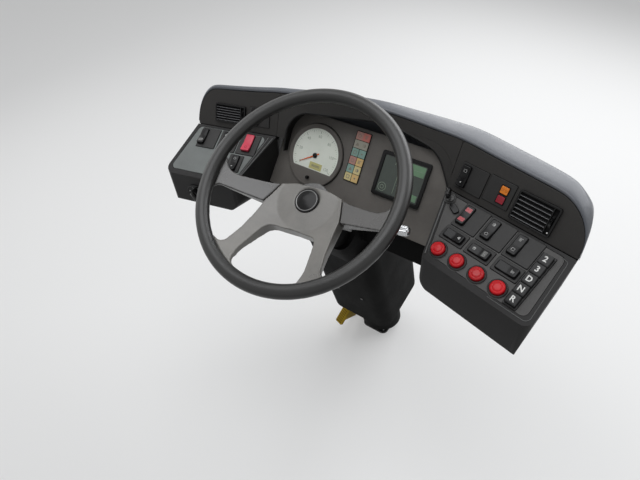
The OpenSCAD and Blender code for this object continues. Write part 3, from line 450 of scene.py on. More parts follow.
def rounded(points, radius, steps):
    """Outline with rounded corners; radius is one number or a list with one per corner."""
    out = []
    count = len(points)
    for i in range(count):
        r = radius[i] if isinstance(radius, (list, tuple)) else radius
        a, b, c = (Vector(points[(i + k) % count]) for k in (-1, 0, 1))
        if r <= 0:
            out.append(tuple(b))
            continue
        u, v = (a - b).normalized(), (c - b).normalized()
        half = u.angle(v) / 2
        reach = r / math.tan(half)
        p0, p1 = b + u * reach, b + v * reach
        mid = b + (u + v).normalized() * (r / math.sin(half))
        a0 = math.atan2(p0.y - mid.y, p0.x - mid.x)
        sweep = math.atan2(p1.y - mid.y, p1.x - mid.x) - a0
        sweep = (sweep + math.pi) % (2 * math.pi) - math.pi
        for k in range(steps + 1):
            t = a0 + sweep * k / steps
            out.append((mid.x + r * math.cos(t), mid.y + r * math.sin(t)))
    return out


def rectangle(x0, y0, x1, y1):
    return [(x0, y0), (x1, y0), (x1, y1), (x0, y1)]


def polar(r, degrees, x=0, y=0):
    a = math.radians(degrees)
    return x + r * math.cos(a), y + r * math.sin(a)


def circle(x, y, r, steps):
    return [polar(r, 360 * k / steps, x, y) for k in range(steps)]


def star(high, low, step):
    """Ribbed outline of a knob, from its two radii and the angle between rib and groove."""
    return [polar(high if a % (2 * step) else low, a) for a in range(0, 360, step)]


class Body:
    """Closed shapes, in the millimetres of a space, collected into one piece."""

    def __init__(self, space):
        self.space = space
        self.bm = bmesh.new()

    def point(self, x, y, z, local=None):
        p = Vector((x, y, z))
        if local is not None:
            p = local @ p
        return self.bm.verts.new(METRES @ self.space @ p)

    def skin(self, rings, closed=False):
        """Joins rings of equal counts; the ends are capped unless the rings close on themselves."""
        n, m = len(rings[0]), len(rings)
        for i in range(m if closed else m - 1):
            a, b = rings[i], rings[(i + 1) % m]
            for j in range(n):
                self.bm.faces.new((a[j], a[(j + 1) % n], b[(j + 1) % n], b[j]))
        if not closed:
            self.bm.faces.new(list(reversed(rings[0])))
            self.bm.faces.new(rings[-1])
        return self

    def layers(self, outlines, local=None):
        """Skin over flat outlines, each given with its height."""
        return self.skin([[self.point(x, y, z, local) for x, y in outline] for outline, z in outlines])

    def prism(self, outline, z0, z1, local=None):
        return self.layers([(outline, z0), (outline, z1)], local)

    def slab(self, x0, y0, x1, y1, z0, z1, r=0, local=None):
        outline = rectangle(x0, y0, x1, y1)
        return self.prism(rounded(outline, r, 4) if r > 0 else outline, z0, z1, local)

    def lathe(self, profile, x, y, steps=48, local=None):
        """Closed profile of radius and height turned about an axis along z at x, y."""
        rings = []
        for k in range(steps):
            t = 2 * math.pi * k / steps
            c, s = math.cos(t), math.sin(t)
            rings.append([self.point(x + r * c, y + r * s, z, local) for r, z in profile])
        return self.skin(rings, closed=True)

    def disc(self, x, y, r, z0, z1, steps, local=None):
        return self.prism(circle(x, y, r, steps), z0, z1, local)

    def tube(self, path, r, steps, local=None):
        """Round bead that follows a path of points."""
        rings = []
        for i, p in enumerate(path):
            p = Vector(p)
            ahead = Vector(path[min(i + 1, len(path) - 1)]) - Vector(path[max(i - 1, 0)])
            side = ahead.cross(Vector((0, 0, 1)))
            side = side.normalized() if side.length > 1e-6 else Vector((1, 0, 0))
            up = side.cross(ahead).normalized()
            rings.append([
                self.point(*(p + r * (side * math.cos(a) + up * math.sin(a))), local)
                for a in (2 * math.pi * k / steps for k in range(steps))
            ])
        return self.skin(rings)

    def mesh(self, name):
        bmesh.ops.recalc_face_normals(self.bm, faces=self.bm.faces)
        return mesh_of(self.bm, name)

    def done(self, name, material, bevel=0, node=None, angle=SHARP, body="console"):
        finished(name, self.mesh(name), material, body, bevel, node, angle)


def mesh_of(bm, name):
    mesh = bpy.data.meshes.new(name)
    bm.to_mesh(mesh)
    bm.free()
    return mesh


def finished(name, mesh, material, body, bevel=0, node=None, angle=SHARP):
    """Piece of a mesh, which rides on its body and stands in for a node where one is named."""
    mesh.shade_smooth()
    mesh.set_sharp_from_angle(angle=math.radians(angle))
    mesh.materials.clear()
    mesh.materials.append(MATERIALS[material])
    obj = linked(name, mesh)
    if bevel > 0:
        modify(
            obj, "edges", "BEVEL", width=bevel * 0.001, segments=BEVEL_SEGMENTS, limit_method="ANGLE",
            angle_limit=math.radians(angle), use_clamp_overlap=True, harden_normals=True)
    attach(obj, body)
    if node:
        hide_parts(node)
    return obj


def body_of(node):
    for body, members in frame["record"]["behaviour"]["bodies"].items():
        if node in members:
            return body
    raise ValueError(node)


def welded(node):
    """Copy of a CAD node's shape with its points joined."""
    bm = bmesh.new()
    bm.from_mesh(nodes[node].data)
    bmesh.ops.remove_doubles(bm, verts=bm.verts, dist=0.00002)
    return bm


def cleaned(node):
    """Copy of a CAD node's shape with its flat faces whole."""
    bm = welded(node)
    bmesh.ops.dissolve_limit(bm, angle_limit=math.radians(0.6), verts=bm.verts, edges=bm.edges)
    return bm


def softened(node, material, width):
    """A CAD node with moulded, rounded edges."""
    name = "soft_" + node
    finished(name, mesh_of(cleaned(node), name), material, body_of(node), width, node)


def spoke_roots(bm):
    """Wide fillets on the upper side of the side spokes, where they run into the rim."""
    start, bend, end = (157, 1.2), (189, -1.8), (196.5, 27)
    slope = (HUB_DROP - 4) / (RING_R - 73)
    thickness = 6
    fillet = []
    for k in range(9):
        t = k / 8
        spans = zip(start, bend, end)
        fillet.append(tuple(a * (1 - t) ** 2 + 2 * b * t * (1 - t) + c * t ** 2 for a, b, c in spans))
    outline = fillet + [(206, 28), (206, -12), (157, -10)]
    for side in (LEFT, RIGHT):
        body = Body(SPOKED)
        body.skin([
            [body.point(side * x, y, slope * (x - 70) - HUB_DROP - 2.2 - deep) for x, y in outline]
            for deep in (0, thickness)
        ])
        loose = body.mesh("roots")
        bm.from_mesh(loose)
        bpy.data.meshes.remove(loose)


def melted(node, material, voxel, rounds):
    """A CAD node whose edges run softly into each other, as in thick moulded foam."""
    name = "soft_" + node
    bm = welded(node)
    if node == "wheel_spokes":
        spoke_roots(bm)
    obj = finished(name, mesh_of(bm, name), material, body_of(node), 0, node)
    modify(obj, "grid", "REMESH", mode="VOXEL", voxel_size=voxel * 0.001, use_smooth_shade=True)
    modify(obj, "ease", "SMOOTH", factor=0.5, iterations=rounds)


SOFT_NODES = {
    # the cover material on the column's covers is near black as painted shade
    "upper_shroud": ("cover", 6), "lower_shroud": ("cover", 1), "head_cover": ("cover", 3),
    "column_head": ("paint", 1), "support_beam": ("paint", 1.5), "foot_plate": ("paint", 1),
    "face_centre": ("face", 0.3), "face_left": ("face", 0.8), "face_right": ("face", 0.8),
    # the left shelf's pale material is a painted sheen; the right shelf's is the plastic's own colour
    "shelf_left": ("shelf", 0.7), "shelf_right": ("shelf_right", 0.7),
    # the hood's lip material is near black as painted shade; the lower panel's cover material likewise
    "cluster_hood": ("lip", 1), "instrument_panel": ("panel", 1), "lower_panel": ("cover", 1),
    "rocker_plates_left": ("plate", 0.6), "rocker_plates_right": ("plate", 0.6),
    "release_pedal": ("yellow", 1), "gear_strip": ("plate", 0.5),
}
PLAIN_NODES = {
    "pivot_pin": "steel", "lower_tube": "paint", "upper_tube": "steel", "steering_shaft": "steel",
}


def dress_nodes():
    """Materials on the nodes that stay as they are, and softened copies of the others."""
    for name, key in PLAIN_NODES.items():
        nodes[name].data.materials.clear()
        nodes[name].data.materials.append(MATERIALS[key])
    for name, (key, width) in SOFT_NODES.items():
        softened(name, key, width)
    melted("hub_pad", "pad", 1.6, 16)
    melted("wheel_spokes", "spoke", 1.6, 10)


def make_cowl():
    """The cowl's skin, smoothed over its stations."""
    bm = welded("cowl")
    bmesh.ops.join_triangles(bm, faces=bm.faces, angle_face_threshold=3.1, angle_shape_threshold=3.1)
    # the cowl material carries a painted sky reflection in its pale bluish colour
    obj = finished("soft_cowl", mesh_of(bm, "soft_cowl"), "cowl", body_of("cowl"), 0, "cowl", 80)
    modify(obj, "smooth", "SUBSURF", levels=2, render_levels=2)


def soft_tray(node, side):
    """Tray whose outer upper edges are broadly rounded and whose other edges are crisp."""
    broadest = 7.5
    broad, medium, crisp = 1, 0.3, 0.12
    near_edge, inner_slope = 6, 0.385
    bm = cleaned(node)
    weight = bm.edges.layers.float.new("bevel_weight_edge")
    back = (METRES @ SHELF[side]).inverted()
    flare = TRAY_FLARE[side] / SHELF_L
    for edge in bm.edges:
        if len(edge.link_faces) != 2 or edge.calc_face_angle() < math.radians(SHARP):
            continue
        ends = [back @ v.co for v in edge.verts]
        on_top = all(abs(p.z) < 0.2 for p in ends)
        front = near_edge - SHELF_L
        end = TRAY_LENGTH[side] - near_edge
        outer = all(p.y < front or p.x > end - flare * p.y for p in ends)
        inner = all(p.x < 3 - p.y * inner_slope for p in ends)
        edge[weight] = broad if on_top and outer else (medium if on_top and inner else crisp)
    # the tray material is darkened as painted shade
    obj = finished("soft_" + node, mesh_of(bm, "soft_" + node), "tray", body_of(node), 0, node)
    modify(
        obj, "edges", "BEVEL", width=broadest * 0.001, segments=5, limit_method="WEIGHT",
        harden_normals=True)


def tray_floor(depth):
    """Height of a tray's underside over its lowest level, at a depth behind its front or back."""
    r = LOW_ROUND_FRONT
    return r - math.sqrt(r * r - (r - depth) ** 2) if depth < r else 0


def corner_outline(floor):
    """Groove beside a tray's lower outer edge, in from the edge and up, drawn a little into the walls."""
    r, sunk = LOW_ROUND_OUT, 1.5
    side = -1 - sunk
    arc = [polar(r - sunk, 270 - 90 * k / 8, r, r) for k in range(9)]
    return [(side, floor), (r, floor)] + [(q, max(z, floor + 0.2)) for q, z in arc] + [(side, r + 2)]


def make_tray_corner(name, side):
    """Fills the groove that the CAD's rounding leaves beside a tray's lower outer edge."""
    flare, back = TRAY_FLARE[side], TRAY_BACK[side]
    edge = math.hypot(SHELF_RUN, flare)
    start = TRAY_LENGTH[side] + TRAY_LOW * math.tan(math.radians(TRAY_DRAFT))
    slope = TRAY_TAPER[side] / (back - TRAY_END_BACK)
    depths = (0.05, 0.8, 2.4, 5, 9)
    stations = [(d - SHELF_RUN, d) for d in depths] + [(back - d, d) for d in reversed(depths)]
    corner = Body(WING[side])
    rings = []
    for y, depth in stations:
        ring = []
        for q, z in corner_outline(tray_floor(depth) + 0.05):
            along = (y + q * flare / edge) * edge / SHELF_RUN
            x = start - along * flare / edge - q * SHELF_RUN / edge
            if y > TRAY_END_BACK:
                x = min(x, TRAY_LENGTH[side] - slope * (y - TRAY_END_BACK) - 0.05)
            ring.append(corner.point(x, y, TRAY_LOW + z))
        rings.append(ring)
    corner.skin(rings)
    corner.done(name, "tray")


def make_end_strip():
    """Closes the gap between the left face and the end of its tray."""
    Body(WING[LEFT]).slab(188, 2.5, 218.5, 10, -9, 2, 1).done("end_strip", "tray", 0.5)


def letters(name, text, space, place, size, material, depth=0.2, bold=0):
    """Raised print: characters set flat, with their middle at a place in a space."""
    curve = bpy.data.curves.new(name, "FONT")
    curve.body = text
    curve.size = size
    curve.extrude = depth / 2
    curve.offset = bold
    curve.resolution_u = 3
    curve.align_x = "CENTER"
    curve.align_y = "CENTER"
    loose = bpy.data.objects.new(name + "_text", curve)
    mesh = bpy.data.meshes.new_from_object(loose)
    bpy.data.objects.remove(loose)
    mesh.transform(METRES @ space @ place @ moved(0, 0, depth / 2))
    finished(name, mesh, material, "console", angle=30)


def round_inset(d, r):
    """How far an edge rounded with r lies back, at a distance d from where the rounding starts."""
    return r - math.sqrt(max(0, r ** 2 - (r - d) ** 2)) if d < r else 0


def cushion(body, w, l, local, height, plan=3.5, edge=1.6, stations=20):
    """Key or rocker with rounded corners and top edges, its height given for each share of its length."""
    rings = []
    for k in range(stations + 1):
        f = 0.5 - 0.5 * math.cos(math.pi * k / stations)
        d = min(l * f, l - l * f)
        inset = round_inset(d, plan)
        top = height(f) - round_inset(d, edge)
        x0, x1 = inset, w - inset
        right = [polar(edge, 90 * j / 4, x1 - edge, top - edge) for j in range(5)]
        left = [polar(edge, 90 + 90 * j / 4, x0 + edge, top - edge) for j in range(5)]
        rings.append([body.point(x, l * f, z, local) for x, z in [(x0, 0), (x1, 0)] + right + left])
    body.skin(rings)


def rocker_height(f):
    """A rocker stands high at its near end, dips in the middle and rises a little at its far end."""
    rise = ROCKER_NEAR * (1 - 2 * f) if f < 0.5 else ROCKER_FAR * (2 * f - 1)
    return ROCKER_DIP + rise


def icon(body, kind, size, local):
    """Plain printed signs that mean nothing in particular."""
    s = size / 2
    w = size * 0.13
    if kind == "ring":
        body.lathe([(s - w, 0), (s, 0), (s, PRINT_T), (s - w, PRINT_T)], 0, 0, 24, local)
    elif kind == "dot":
        body.disc(0, 0, s * 0.5, 0, PRINT_T, 16, local)
    elif kind == "bars":
        for y in (-0.7, -0.2, 0.3, 0.8):
            end = s * (0.4 if y < 0.5 else 1)
            body.slab(-s, s * y - w / 2, end, s * y + w / 2, 0, PRINT_T, 0, local)
    elif kind == "lamp":
        body.prism([polar(s, a) for a in range(-90, 91, 15)], 0, PRINT_T, local)
        for y in (-0.6, 0, 0.6):
            body.slab(-s, s * y - w / 2, -s * 0.25, s * y + w / 2, 0, PRINT_T, 0, local)
    elif kind == "wedge":
        body.prism([(-s, -s), (s, -s), (s, -s * 0.2), (0, s)], 0, PRINT_T, local)
    elif kind == "box":
        sides = ((-s, -s, s, -s + w), (-s, s - w, s, s), (-s, -s, -s + w, s), (s - w, -s, s, s))
        for x0, y0, x1, y1 in sides:
            body.slab(x0, y0, x1, y1, 0, PRINT_T, 0, local)


def frame_ring(body, box, width, z1, floor, round_out, round_in):
    """Picture frame on a panel: outer box, its width, its height and the level of its floor."""
    x0, y0, x1, y1 = box
    outer = rounded(rectangle(x0, y0, x1, y1), round_out, 5)
    inner = rounded(rectangle(x0 + width, y0 + width, x1 - width, y1 - width), round_in, 5)
    body.layers(((outer, LIFT), (outer, z1), (inner, z1), (inner, floor)))


def make_rim():
    """Rim with a faint seam inside and shallow finger waves on its far side."""
    around, section = 240, 32
    finger_waves, wave_depth = 48, 0.9
    seam_at, seam_w, seam_depth = 146.25, 6, 0.5
    body = Body(SPOKED)
    rings = []
    for i in range(around):
        t = 2 * math.pi * i / around
        ring = []
        for k in range(section):
            a = 2 * math.pi * k / section
            waves = max(0, -math.sin(a)) * (0.5 - 0.5 * math.cos(finger_waves * t)) * wave_depth
            seam = seam_depth * math.exp(-((math.degrees(a) - seam_at) / seam_w) ** 2)
            r = RIM_R - waves - seam
            away = RING_R + r * math.cos(a)
            ring.append(body.point(away * math.cos(t), away * math.sin(t), r * math.sin(a)))
        rings.append(ring)
    body.skin(rings, closed=True)
    body.done("rim", "rim", 0, "wheel_rim", 180, "wheel")


def make_badge():
    """Blank round badge: a domed black disc and a bright ring in a dark collar."""
    pieces = (
        ("badge_disc", "badge", 0, "wheel_badge",
         [(0.01, -2.9), (21.5, -2.9), (21.5, 1.4), (17, 2.2), (9, 2.8), (0.01, 3)]),
        ("badge_ring", "badge_metal", 0.2, None,
         [(21.6, 0.2), (23.6, 0.2), (23.6, 2.2), (22.8, 2.7), (21.6, 2)]),
        ("badge_collar", "badge", 0.2, None,
         [(21.6, -2.9), (BADGE_R, -2.9), (BADGE_R, 0.6), (BADGE_R - 0.8, 2), (BADGE_R - 2, 2.6),
          (BADGE_R - 3.2, 2.3), (23.7, 0.1), (21.6, 0.1)]),
    )
    for name, material, bevel, node, profile in pieces:
        body = Body(SPOKED).lathe([(r, z - HUB_DROP) for r, z in profile], 0, BADGE_Y)
        body.done(name, material, bevel, node, body="wheel")


def dial_opening(grow, steps):
    """Round opening cut off straight by the apron below the dial."""
    out = []
    for k in range(steps):
        t = 2 * math.pi * k / steps
        r = DIAL_R + grow
        if math.sin(t) < 0:
            r = min(r, (APRON_Y - grow) / math.sin(t))
        out.append((SPEEDO_AT[0] + r * math.cos(t), SPEEDO_AT[1] + r * math.sin(t)))
    return out


def make_speedometer():
    """Bezel with its apron, the gap round it and the dial under it."""
    cx, cy = SPEEDO_AT
    steps = 144
    mask = Body(PANEL)
    rim = ((0, LIFT), (0, 4.2), (0.6, 5.4), (1.8, 6), (3, 5.9))
    outside = [(circle(cx, cy, SPEEDO_R - inset, steps), z) for inset, z in rim]
    inside = [(dial_opening(grow, steps), z) for grow, z in ((1, 4.7), (0, 4.2), (0, LIFT))]
    mask.layers(outside + inside)
    mask.done("speedo_mask", "apron", 0, "speedometer_bezel", 40)
    r0, r1 = SPEEDO_R, SPEEDO_R + 1.3
    gap = Body(PANEL).lathe([(r0, LIFT), (r1, LIFT), (r1, 0.5), (r0, 0.5)], cx, cy, 96)
    gap.done("speedo_gap", "deep")
    face = Body(PANEL).disc(cx, cy, DIAL_R - 0.1, LIFT, DIAL_Z, 96)
    face.done("speedo_face", "dial", 0, "speedometer_dial")


def make_dial():
    """Scale with plain figures, needle and distance counter."""
    cx, cy = SPEEDO_AT
    marks = Body(PANEL)
    mark_count = 2 * DIAL_TOP // 5
    mark_end = DIAL_R - 4
    for k in range(mark_count + 1):
        local = moved(cx, cy) @ turned("Z", DIAL_START - DIAL_SWEEP * k / mark_count)
        length, w = ((7, 1.3) if k % 8 == 0 else (5, 0.9)) if k % 4 == 0 else (2.8, 0.6)
        marks.slab(mark_end - length, -w / 2, mark_end, w / 2, DIAL_Z, DIAL_Z + 0.12, 0, local)
    marks.done("speedo_marks", "print_pale")
    for value in range(0, DIAL_TOP + 1, 20):
        x, y = polar(FIGURES_R, DIAL_START - DIAL_SWEEP * value / DIAL_TOP, cx, cy)
        letters("speedo_%d" % value, str(value), PANEL, moved(x, y, DIAL_Z), 9.5, "print_pale")
    outline = [(-12, -1.5), (-12, 1.5), (0, 1.9), (44, 0.6), (46, 0), (44, -0.6), (0, -1.9)]
    at_zero = moved(cx, cy) @ turned("Z", DIAL_START)
    Body(PANEL).prism(outline, 3.6, 4.3, at_zero).done("speedo_needle", "needle", 0.2)
    hub = Body(PANEL).lathe([(0.01, DIAL_Z), (6, DIAL_Z), (6, 4.8), (4.8, 5.6), (0.01, 5.8)], cx, cy, 32)
    hub.done("speedo_hub", "black")
    counter = Body(PANEL).slab(cx - 9, cy - 32, cx + 26, cy - 16, DIAL_Z, DIAL_Z + 0.4, 1)
    counter.done("speedo_counter", "counter", 0.2)
    letters("speedo_digits", "000000", PANEL, moved(cx + 8.5, cy - 24, DIAL_Z + 0.4), 7.5, "print_grey")


def make_trip_knob():
    cx, cy = SPEEDO_AT
    knob = Body(PANEL).lathe([(0.01, 4), (4, 4), (4, 12.4), (3.2, 13.6), (0.01, 13.9)], cx - 2, cy - 54, 20)
    knob.done("speedo_knob", "black", 0, "trip_knob")


def make_lamps():
    """Two columns of six warning lamps in a dark frame."""
    x0, y0, x1, y1 = LAMP_BOX
    low, high = 1.4, 2.6
    block = Body(PANEL)
    frame_ring(block, LAMP_BOX, 0.8, high, low, 1.5, 0.6)
    pitch_y = (y1 - y0 - 2) / len(LAMP_ROWS)
    pitch_x = (x1 - x0 - 2) / 2
    for k in range(1, len(LAMP_ROWS)):
        level = y0 + 1 + pitch_y * k
        block.slab(x0 + 0.5, level - 0.5, x1 - 0.5, level + 0.5, low, high)
    block.slab(x0 + 0.5 + pitch_x, y0 + 1, x0 + 1.5 + pitch_x, y1 - 1 - 2 * pitch_y, low, high)
    block.done("lamp_frame", "black", 0.15, "lamp_block")
    signs = Body(PANEL)
    for row, pair in enumerate(LAMP_ROWS):
        joint = 0 if row < 2 else 0.6
        for column, key in enumerate(pair):
            left, top = x0 + 1 + pitch_x * column, y1 - 1 - pitch_y * row
            gap_left, gap_right = (joint, 0.6) if column else (0.6, joint)
            right, bottom = left + pitch_x - gap_right, top - pitch_y + 0.6
            glass = Body(PANEL).slab(left + gap_left, bottom, right, top - 0.6, 1.5, 2.8, 0.4)
            glass.done("lamp_%d_%d" % (row, column), key, 0.25)
            middle = moved(left + pitch_x / 2, top - pitch_y / 2, 2.8)
            icon(signs, LAMP_SIGNS[(2 * row + column) % len(LAMP_SIGNS)], 8, middle)
    signs.done("lamp_signs", "print_faint")


def make_display():
    """Square display with a lit header, a few lines, a ring sign and a letter."""
    x0, y0, x1, y1 = DISPLAY_BOX
    glass_z = 3.2
    line_z = glass_z + 0.1
    inset = DISPLAY_FRAME + 0.3
    rim = Body(PANEL)
    frame_ring(rim, DISPLAY_BOX, DISPLAY_FRAME, 6, 2, 5, 2.5)
    rim.done("display_frame", "black", 1.2, "display_bezel")
    glass = Body(PANEL).slab(x0 + inset, y0 + inset, x1 - inset, y1 - inset, 2.05, glass_z, 2)
    glass.done("display_glass", "screen", 0.2, "display_screen")
    lit = Body(PANEL)
    lit.slab(x1 - 43, y1 - 33, x1 - 10.5, y1 - 10.5, glass_z, line_z, 1)
    lit.slab(x1 - 34, y0 + 12, x1 - 11, y0 + 26, glass_z, line_z, 1)
    lit.done("display_header", "screen_green")
    lines = Body(PANEL)
    lines.slab(x1 - 40, y1 - 22.5, x1 - 14, y1 - 21.7, line_z, line_z + 0.1)
    lines.slab(x0 + 48, y0 + 14, x0 + 49, y1 - 14, glass_z, line_z)
    for k in range(5):
        level = y1 - 44 - 5.5 * k
        lines.slab(x0 + 52, level, x0 + 60 + 5 * (k % 3), level + 1.4, glass_z, line_z)
    for r1 in (4.6, 9.6):
        r0 = r1 - 1.1
        lines.lathe([(r0, glass_z), (r1, glass_z), (r1, line_z), (r0, line_z)], x0 + 21, y0 + 21, 32)
    lines.done("display_lines", "screen_pale")
    letters("display_sign", "N", PANEL, moved(x0 + 40, y1 - 20, glass_z), 14, "screen_pale")


def make_recess():
    """Soft near-black lip along the recess's edge, a painted shade for the hood's shaded inner wall, and
    the brow that narrows the opening at its upper right.
    """
    seen = rounded(RECESS_SEEN, RECESS_SEEN_ROUNDS, 14)
    wide = rounded(RECESS_WIDE, RECESS_WIDE_ROUNDS, 8)
    lip_z = -2.2
    path = [(x, y, lip_z) for x, y in seen if y > 0]
    path = [(path[0][0], -2, lip_z)] + path + [(428.4, -2, lip_z)]
    # near-black tube: painted shade of the hood's inner wall
    Body(CENTRE).tube(path, 2.8, 12).done("recess_shade_lip", "lip")
    low = [(x, y) for x, y in seen if x > BROW_FROM and y > 0]
    high = [(x - 0.1, y - 0.1) for x, y in wide if x > BROW_FROM and y > 0]
    brow = Body(CENTRE).prism(low + [(428.2, 0.3), (429.8, 0.3)] + list(reversed(high)), -2.9, 0)
    brow.done("recess_brow", "face")


def make_vent(name, side, box):
    """Vent with fixed slats, pale tubes on their front edges as a painted highlight, vanes behind them and
    a ribbed thumbwheel; the left one is mirrored.
    """
    x0, y0, x1, y1 = box
    space = FACE[side]
    if side == LEFT:
        space = space @ moved(x0 + x1, 0) @ mirrored_x()
    grille = x1 - 14
    rim = Body(space)
    frame_ring(rim, box, 3.6, 6, 0.9, 4, 1.2)
    rim.slab(grille, y0 + 3, grille + 2.4, y1 - 3, 0.9, 5.2)
    rim.done(name + "_frame", "black", 0.7, name)
    well = Body(space)
    well.slab(x0 + 3.7, y0 + 3.7, x1 - 3.7, y1 - 3.7, 0.95, 1.1)
    for k in range(1, 9):
        at = x0 + 4 + (grille - x0 - 4) * k / 9
        well.slab(at - 0.4, y0 + 4, at + 0.4, y1 - 4, 1.1, 2.2)
    well.done(name + "_well", "deep")
    slats, edges = Body(space), Body(space)
    slat_l = grille - x0 - 3
    pitch = (y1 - y0 - 8) / 6
    for k in range(6):
        local = moved(x0 + 3.4, y0 + 4 + pitch * (k + 0.5), 1.6) @ turned("X", 32)
        slats.slab(0, -0.45, slat_l, 0.45, 0, 3.6, 0, local)
        # pale tube along each slat's front edge: a painted highlight
        edges.tube([(0, 0, 3.7), (slat_l, 0, 3.7)], 0.62, 8, local)
    slats.done(name + "_slats", "slat", 0.2)
    edges.done(name + "_slat_painted_highlights", "slat_painted_highlight")
    ribs = [polar(13.9 if k % 2 else 12.9, 31 + 118 * k / 40) for k in range(41)]
    axle = moved(grille + 3.6, (y0 + y1) / 2, -6) @ turned("Y", 90) @ turned("Z", 90)
    Body(space).prism(ribs, 0, 4.6, axle).done(name + "_wheel", "black", 0.15)
    Body(space).disc(x1 - 5.8, y0 + 7.5, 1.5, 1.1, 3, 16).done(name + "_dot", "print_white", 0.3)


def make_rocker_seat(name, space, w, l, local):
    """Dark collar in which a rocker sits."""
    outline = rounded(rectangle(-1, -1, w + 1, l + 1), 4, 5)
    inside = rounded(rectangle(-0.1, -0.1, w + 0.1, l + 0.1), 3.4, 5)
    seat = Body(space).layers(((outline, HAIR), (outline, 1), (inside, 1.6), (inside, HAIR)), local)
    seat.done(name, "deep")


def make_rocker_signs(i, space, signs, near, far, material):
    """Printed signs at a rocker's two ends, or lit panes with boxes on them."""
    ink = Body(space)
    for kind, spot in zip(signs.split(), (near, far)):
        if not kind.startswith("window"):
            icon(ink, kind, 6.4, spot)
            continue
        glass, places = ("dark_red", (near, far)) if kind == "windows" else ("smoke", (near,))
        for at in places:
            pane = Body(space).slab(-6.2, -4.6, 6.2, 4.6, 0, 0.25, 1.2, at)
            pane.done("rocker_pane_%d_%d" % (i, at is far), glass, 0.1)
            for x in (-3, 2.2):
                icon(ink, "box", 4.2, at @ moved(x, 0, 0.25))
    ink.done("rocker_sign_%d" % i, material)


def make_rockers():
    """Rockers of both wings; one that lies along x is turned about its lower right corner."""
    near_share, far_share = 0.22, 0.76
    for i, (space, x, y, w, l, lengthwise, signs, node) in enumerate(ROCKERS):
        local = moved(x + l, y, PLATE_T) @ turned("Z", 90) if lengthwise else moved(x, y, PLATE_T)
        hazard = node == "hazard_rocker"
        cap = Body(space)
        cushion(cap, w, l, local, rocker_height)
        cap.done("rocker_%d" % i, "hazard" if hazard else "black", 0, node, 40)
        make_rocker_seat("rocker_seat_%d" % i, space, w, l, local)
        down, up = (math.degrees(math.atan(2 * rise / l)) for rise in (-ROCKER_NEAR, ROCKER_FAR))
        near = local @ moved(w / 2, l * near_share, rocker_height(near_share)) @ turned("X", down)
        far = local @ moved(w / 2, l * far_share, rocker_height(far_share)) @ turned("X", up)
        material = "print_red" if signs == "windows" else ("sign_red" if hazard else "print_soft")
        make_rocker_signs(i, space, signs, near, far, material)


def outlined(space, boxes, name):
    """Dark gap lines round let-in plates."""
    line = Body(space)
    for x0, y0, x1, y1 in boxes:
        line.slab(x0 - 0.9, y0 - 0.9, x1 + 0.9, y1 + 0.9, HAIR, 0.5, 2.2)
    line.done(name, "deep")


def make_gaps():
    """Gaps round the plates on the shelves and faces, and round the gear strip."""
    gear_x, gear_y = GEAR_AT
    far_row = [(s, -61, s + 52, -6) for s in (58.5, 115, 171)]
    near_row = [(s, -94, s + 51, -65) for s in (56, 113.5, 172)]
    strip = (gear_x - 2, gear_y - 2, gear_x + 23, -18)
    left_row = [(s - 25.5, -65, s + 25.5, -10) for s in (62, 117, 174)]
    outlined(SHELF[RIGHT], far_row + near_row + [strip], "gaps_shelf_right")
    outlined(SHELF[LEFT], left_row + [(60, -114, 96, -70)], "gaps_shelf_left")
    outlined(FACE[RIGHT], [(13, 12, 72, 64), (76, 16, 130, 66)], "gaps_face_right")
    outlined(FACE[LEFT], [(21, 16, 74, 60)], "gaps_face_left")


def make_beads():
    """Moulded ridges along the inner edges of both shelves; their pale colour is a painted highlight where
    they lie on the darker right shelf.
    """
    bead_r, bead_z = 1.3, 0.2
    left = Body(SHELF[LEFT])
    left.tube([(18, -8, bead_z), (55.5, -132, bead_z)], bead_r, 10)
    left.tube([(7.5, -8, bead_z), (55, -139, bead_z)], bead_r, 10)
    left.done("beads_left", "bead")
    Body(SHELF[RIGHT]).tube([(8, -8, bead_z), (58, -138, bead_z)], bead_r, 10).done("highlight_beads_right", "bead")


def make_outer_bead():
    """Pale line round the right shelf's outer end: a painted highlight along the edge."""
    outline = rounded([(254, -10), (268, -12), (279, -140), (200, -140.5)], [0, 7, 10, 0], 6)
    path = [(x, y, 0.1) for x, y in outline]
    Body(SHELF[RIGHT]).tube(path, 0.7, 8).done("highlight_bead_outer", "bead")


def make_lamps_right():
    """Two small lamps on the right face: dark red below, orange above."""
    lamps = (
        (23, "dark_red", "wedge", "sign_red", None),
        (42, "orange", "box", "sign_brown", "indicator_lamps"),
    )
    for i, (y, key, sign, ink_key, node) in enumerate(lamps):
        seat = Body(FACE[RIGHT]).slab(102.4, y - 1.2, 120.6, y + 16.2, PLATE_T, PLATE_T + 1.3, 1.6)
        seat.done("small_lamp_seat_%d" % i, "deep", 0.3)
        glass = Body(FACE[RIGHT]).slab(104, y + 0.4, 119, y + 14.6, PLATE_T + 1, PLATE_T + 2, 1.2)
        glass.done("small_lamp_%d" % i, key, 0.4, node)
        ink = Body(FACE[RIGHT])
        for x in (108, 115):
            icon(ink, sign, 4, moved(x, y + 7.5, PLATE_T + 2))
        ink.done("small_lamp_sign_%d" % i, ink_key)


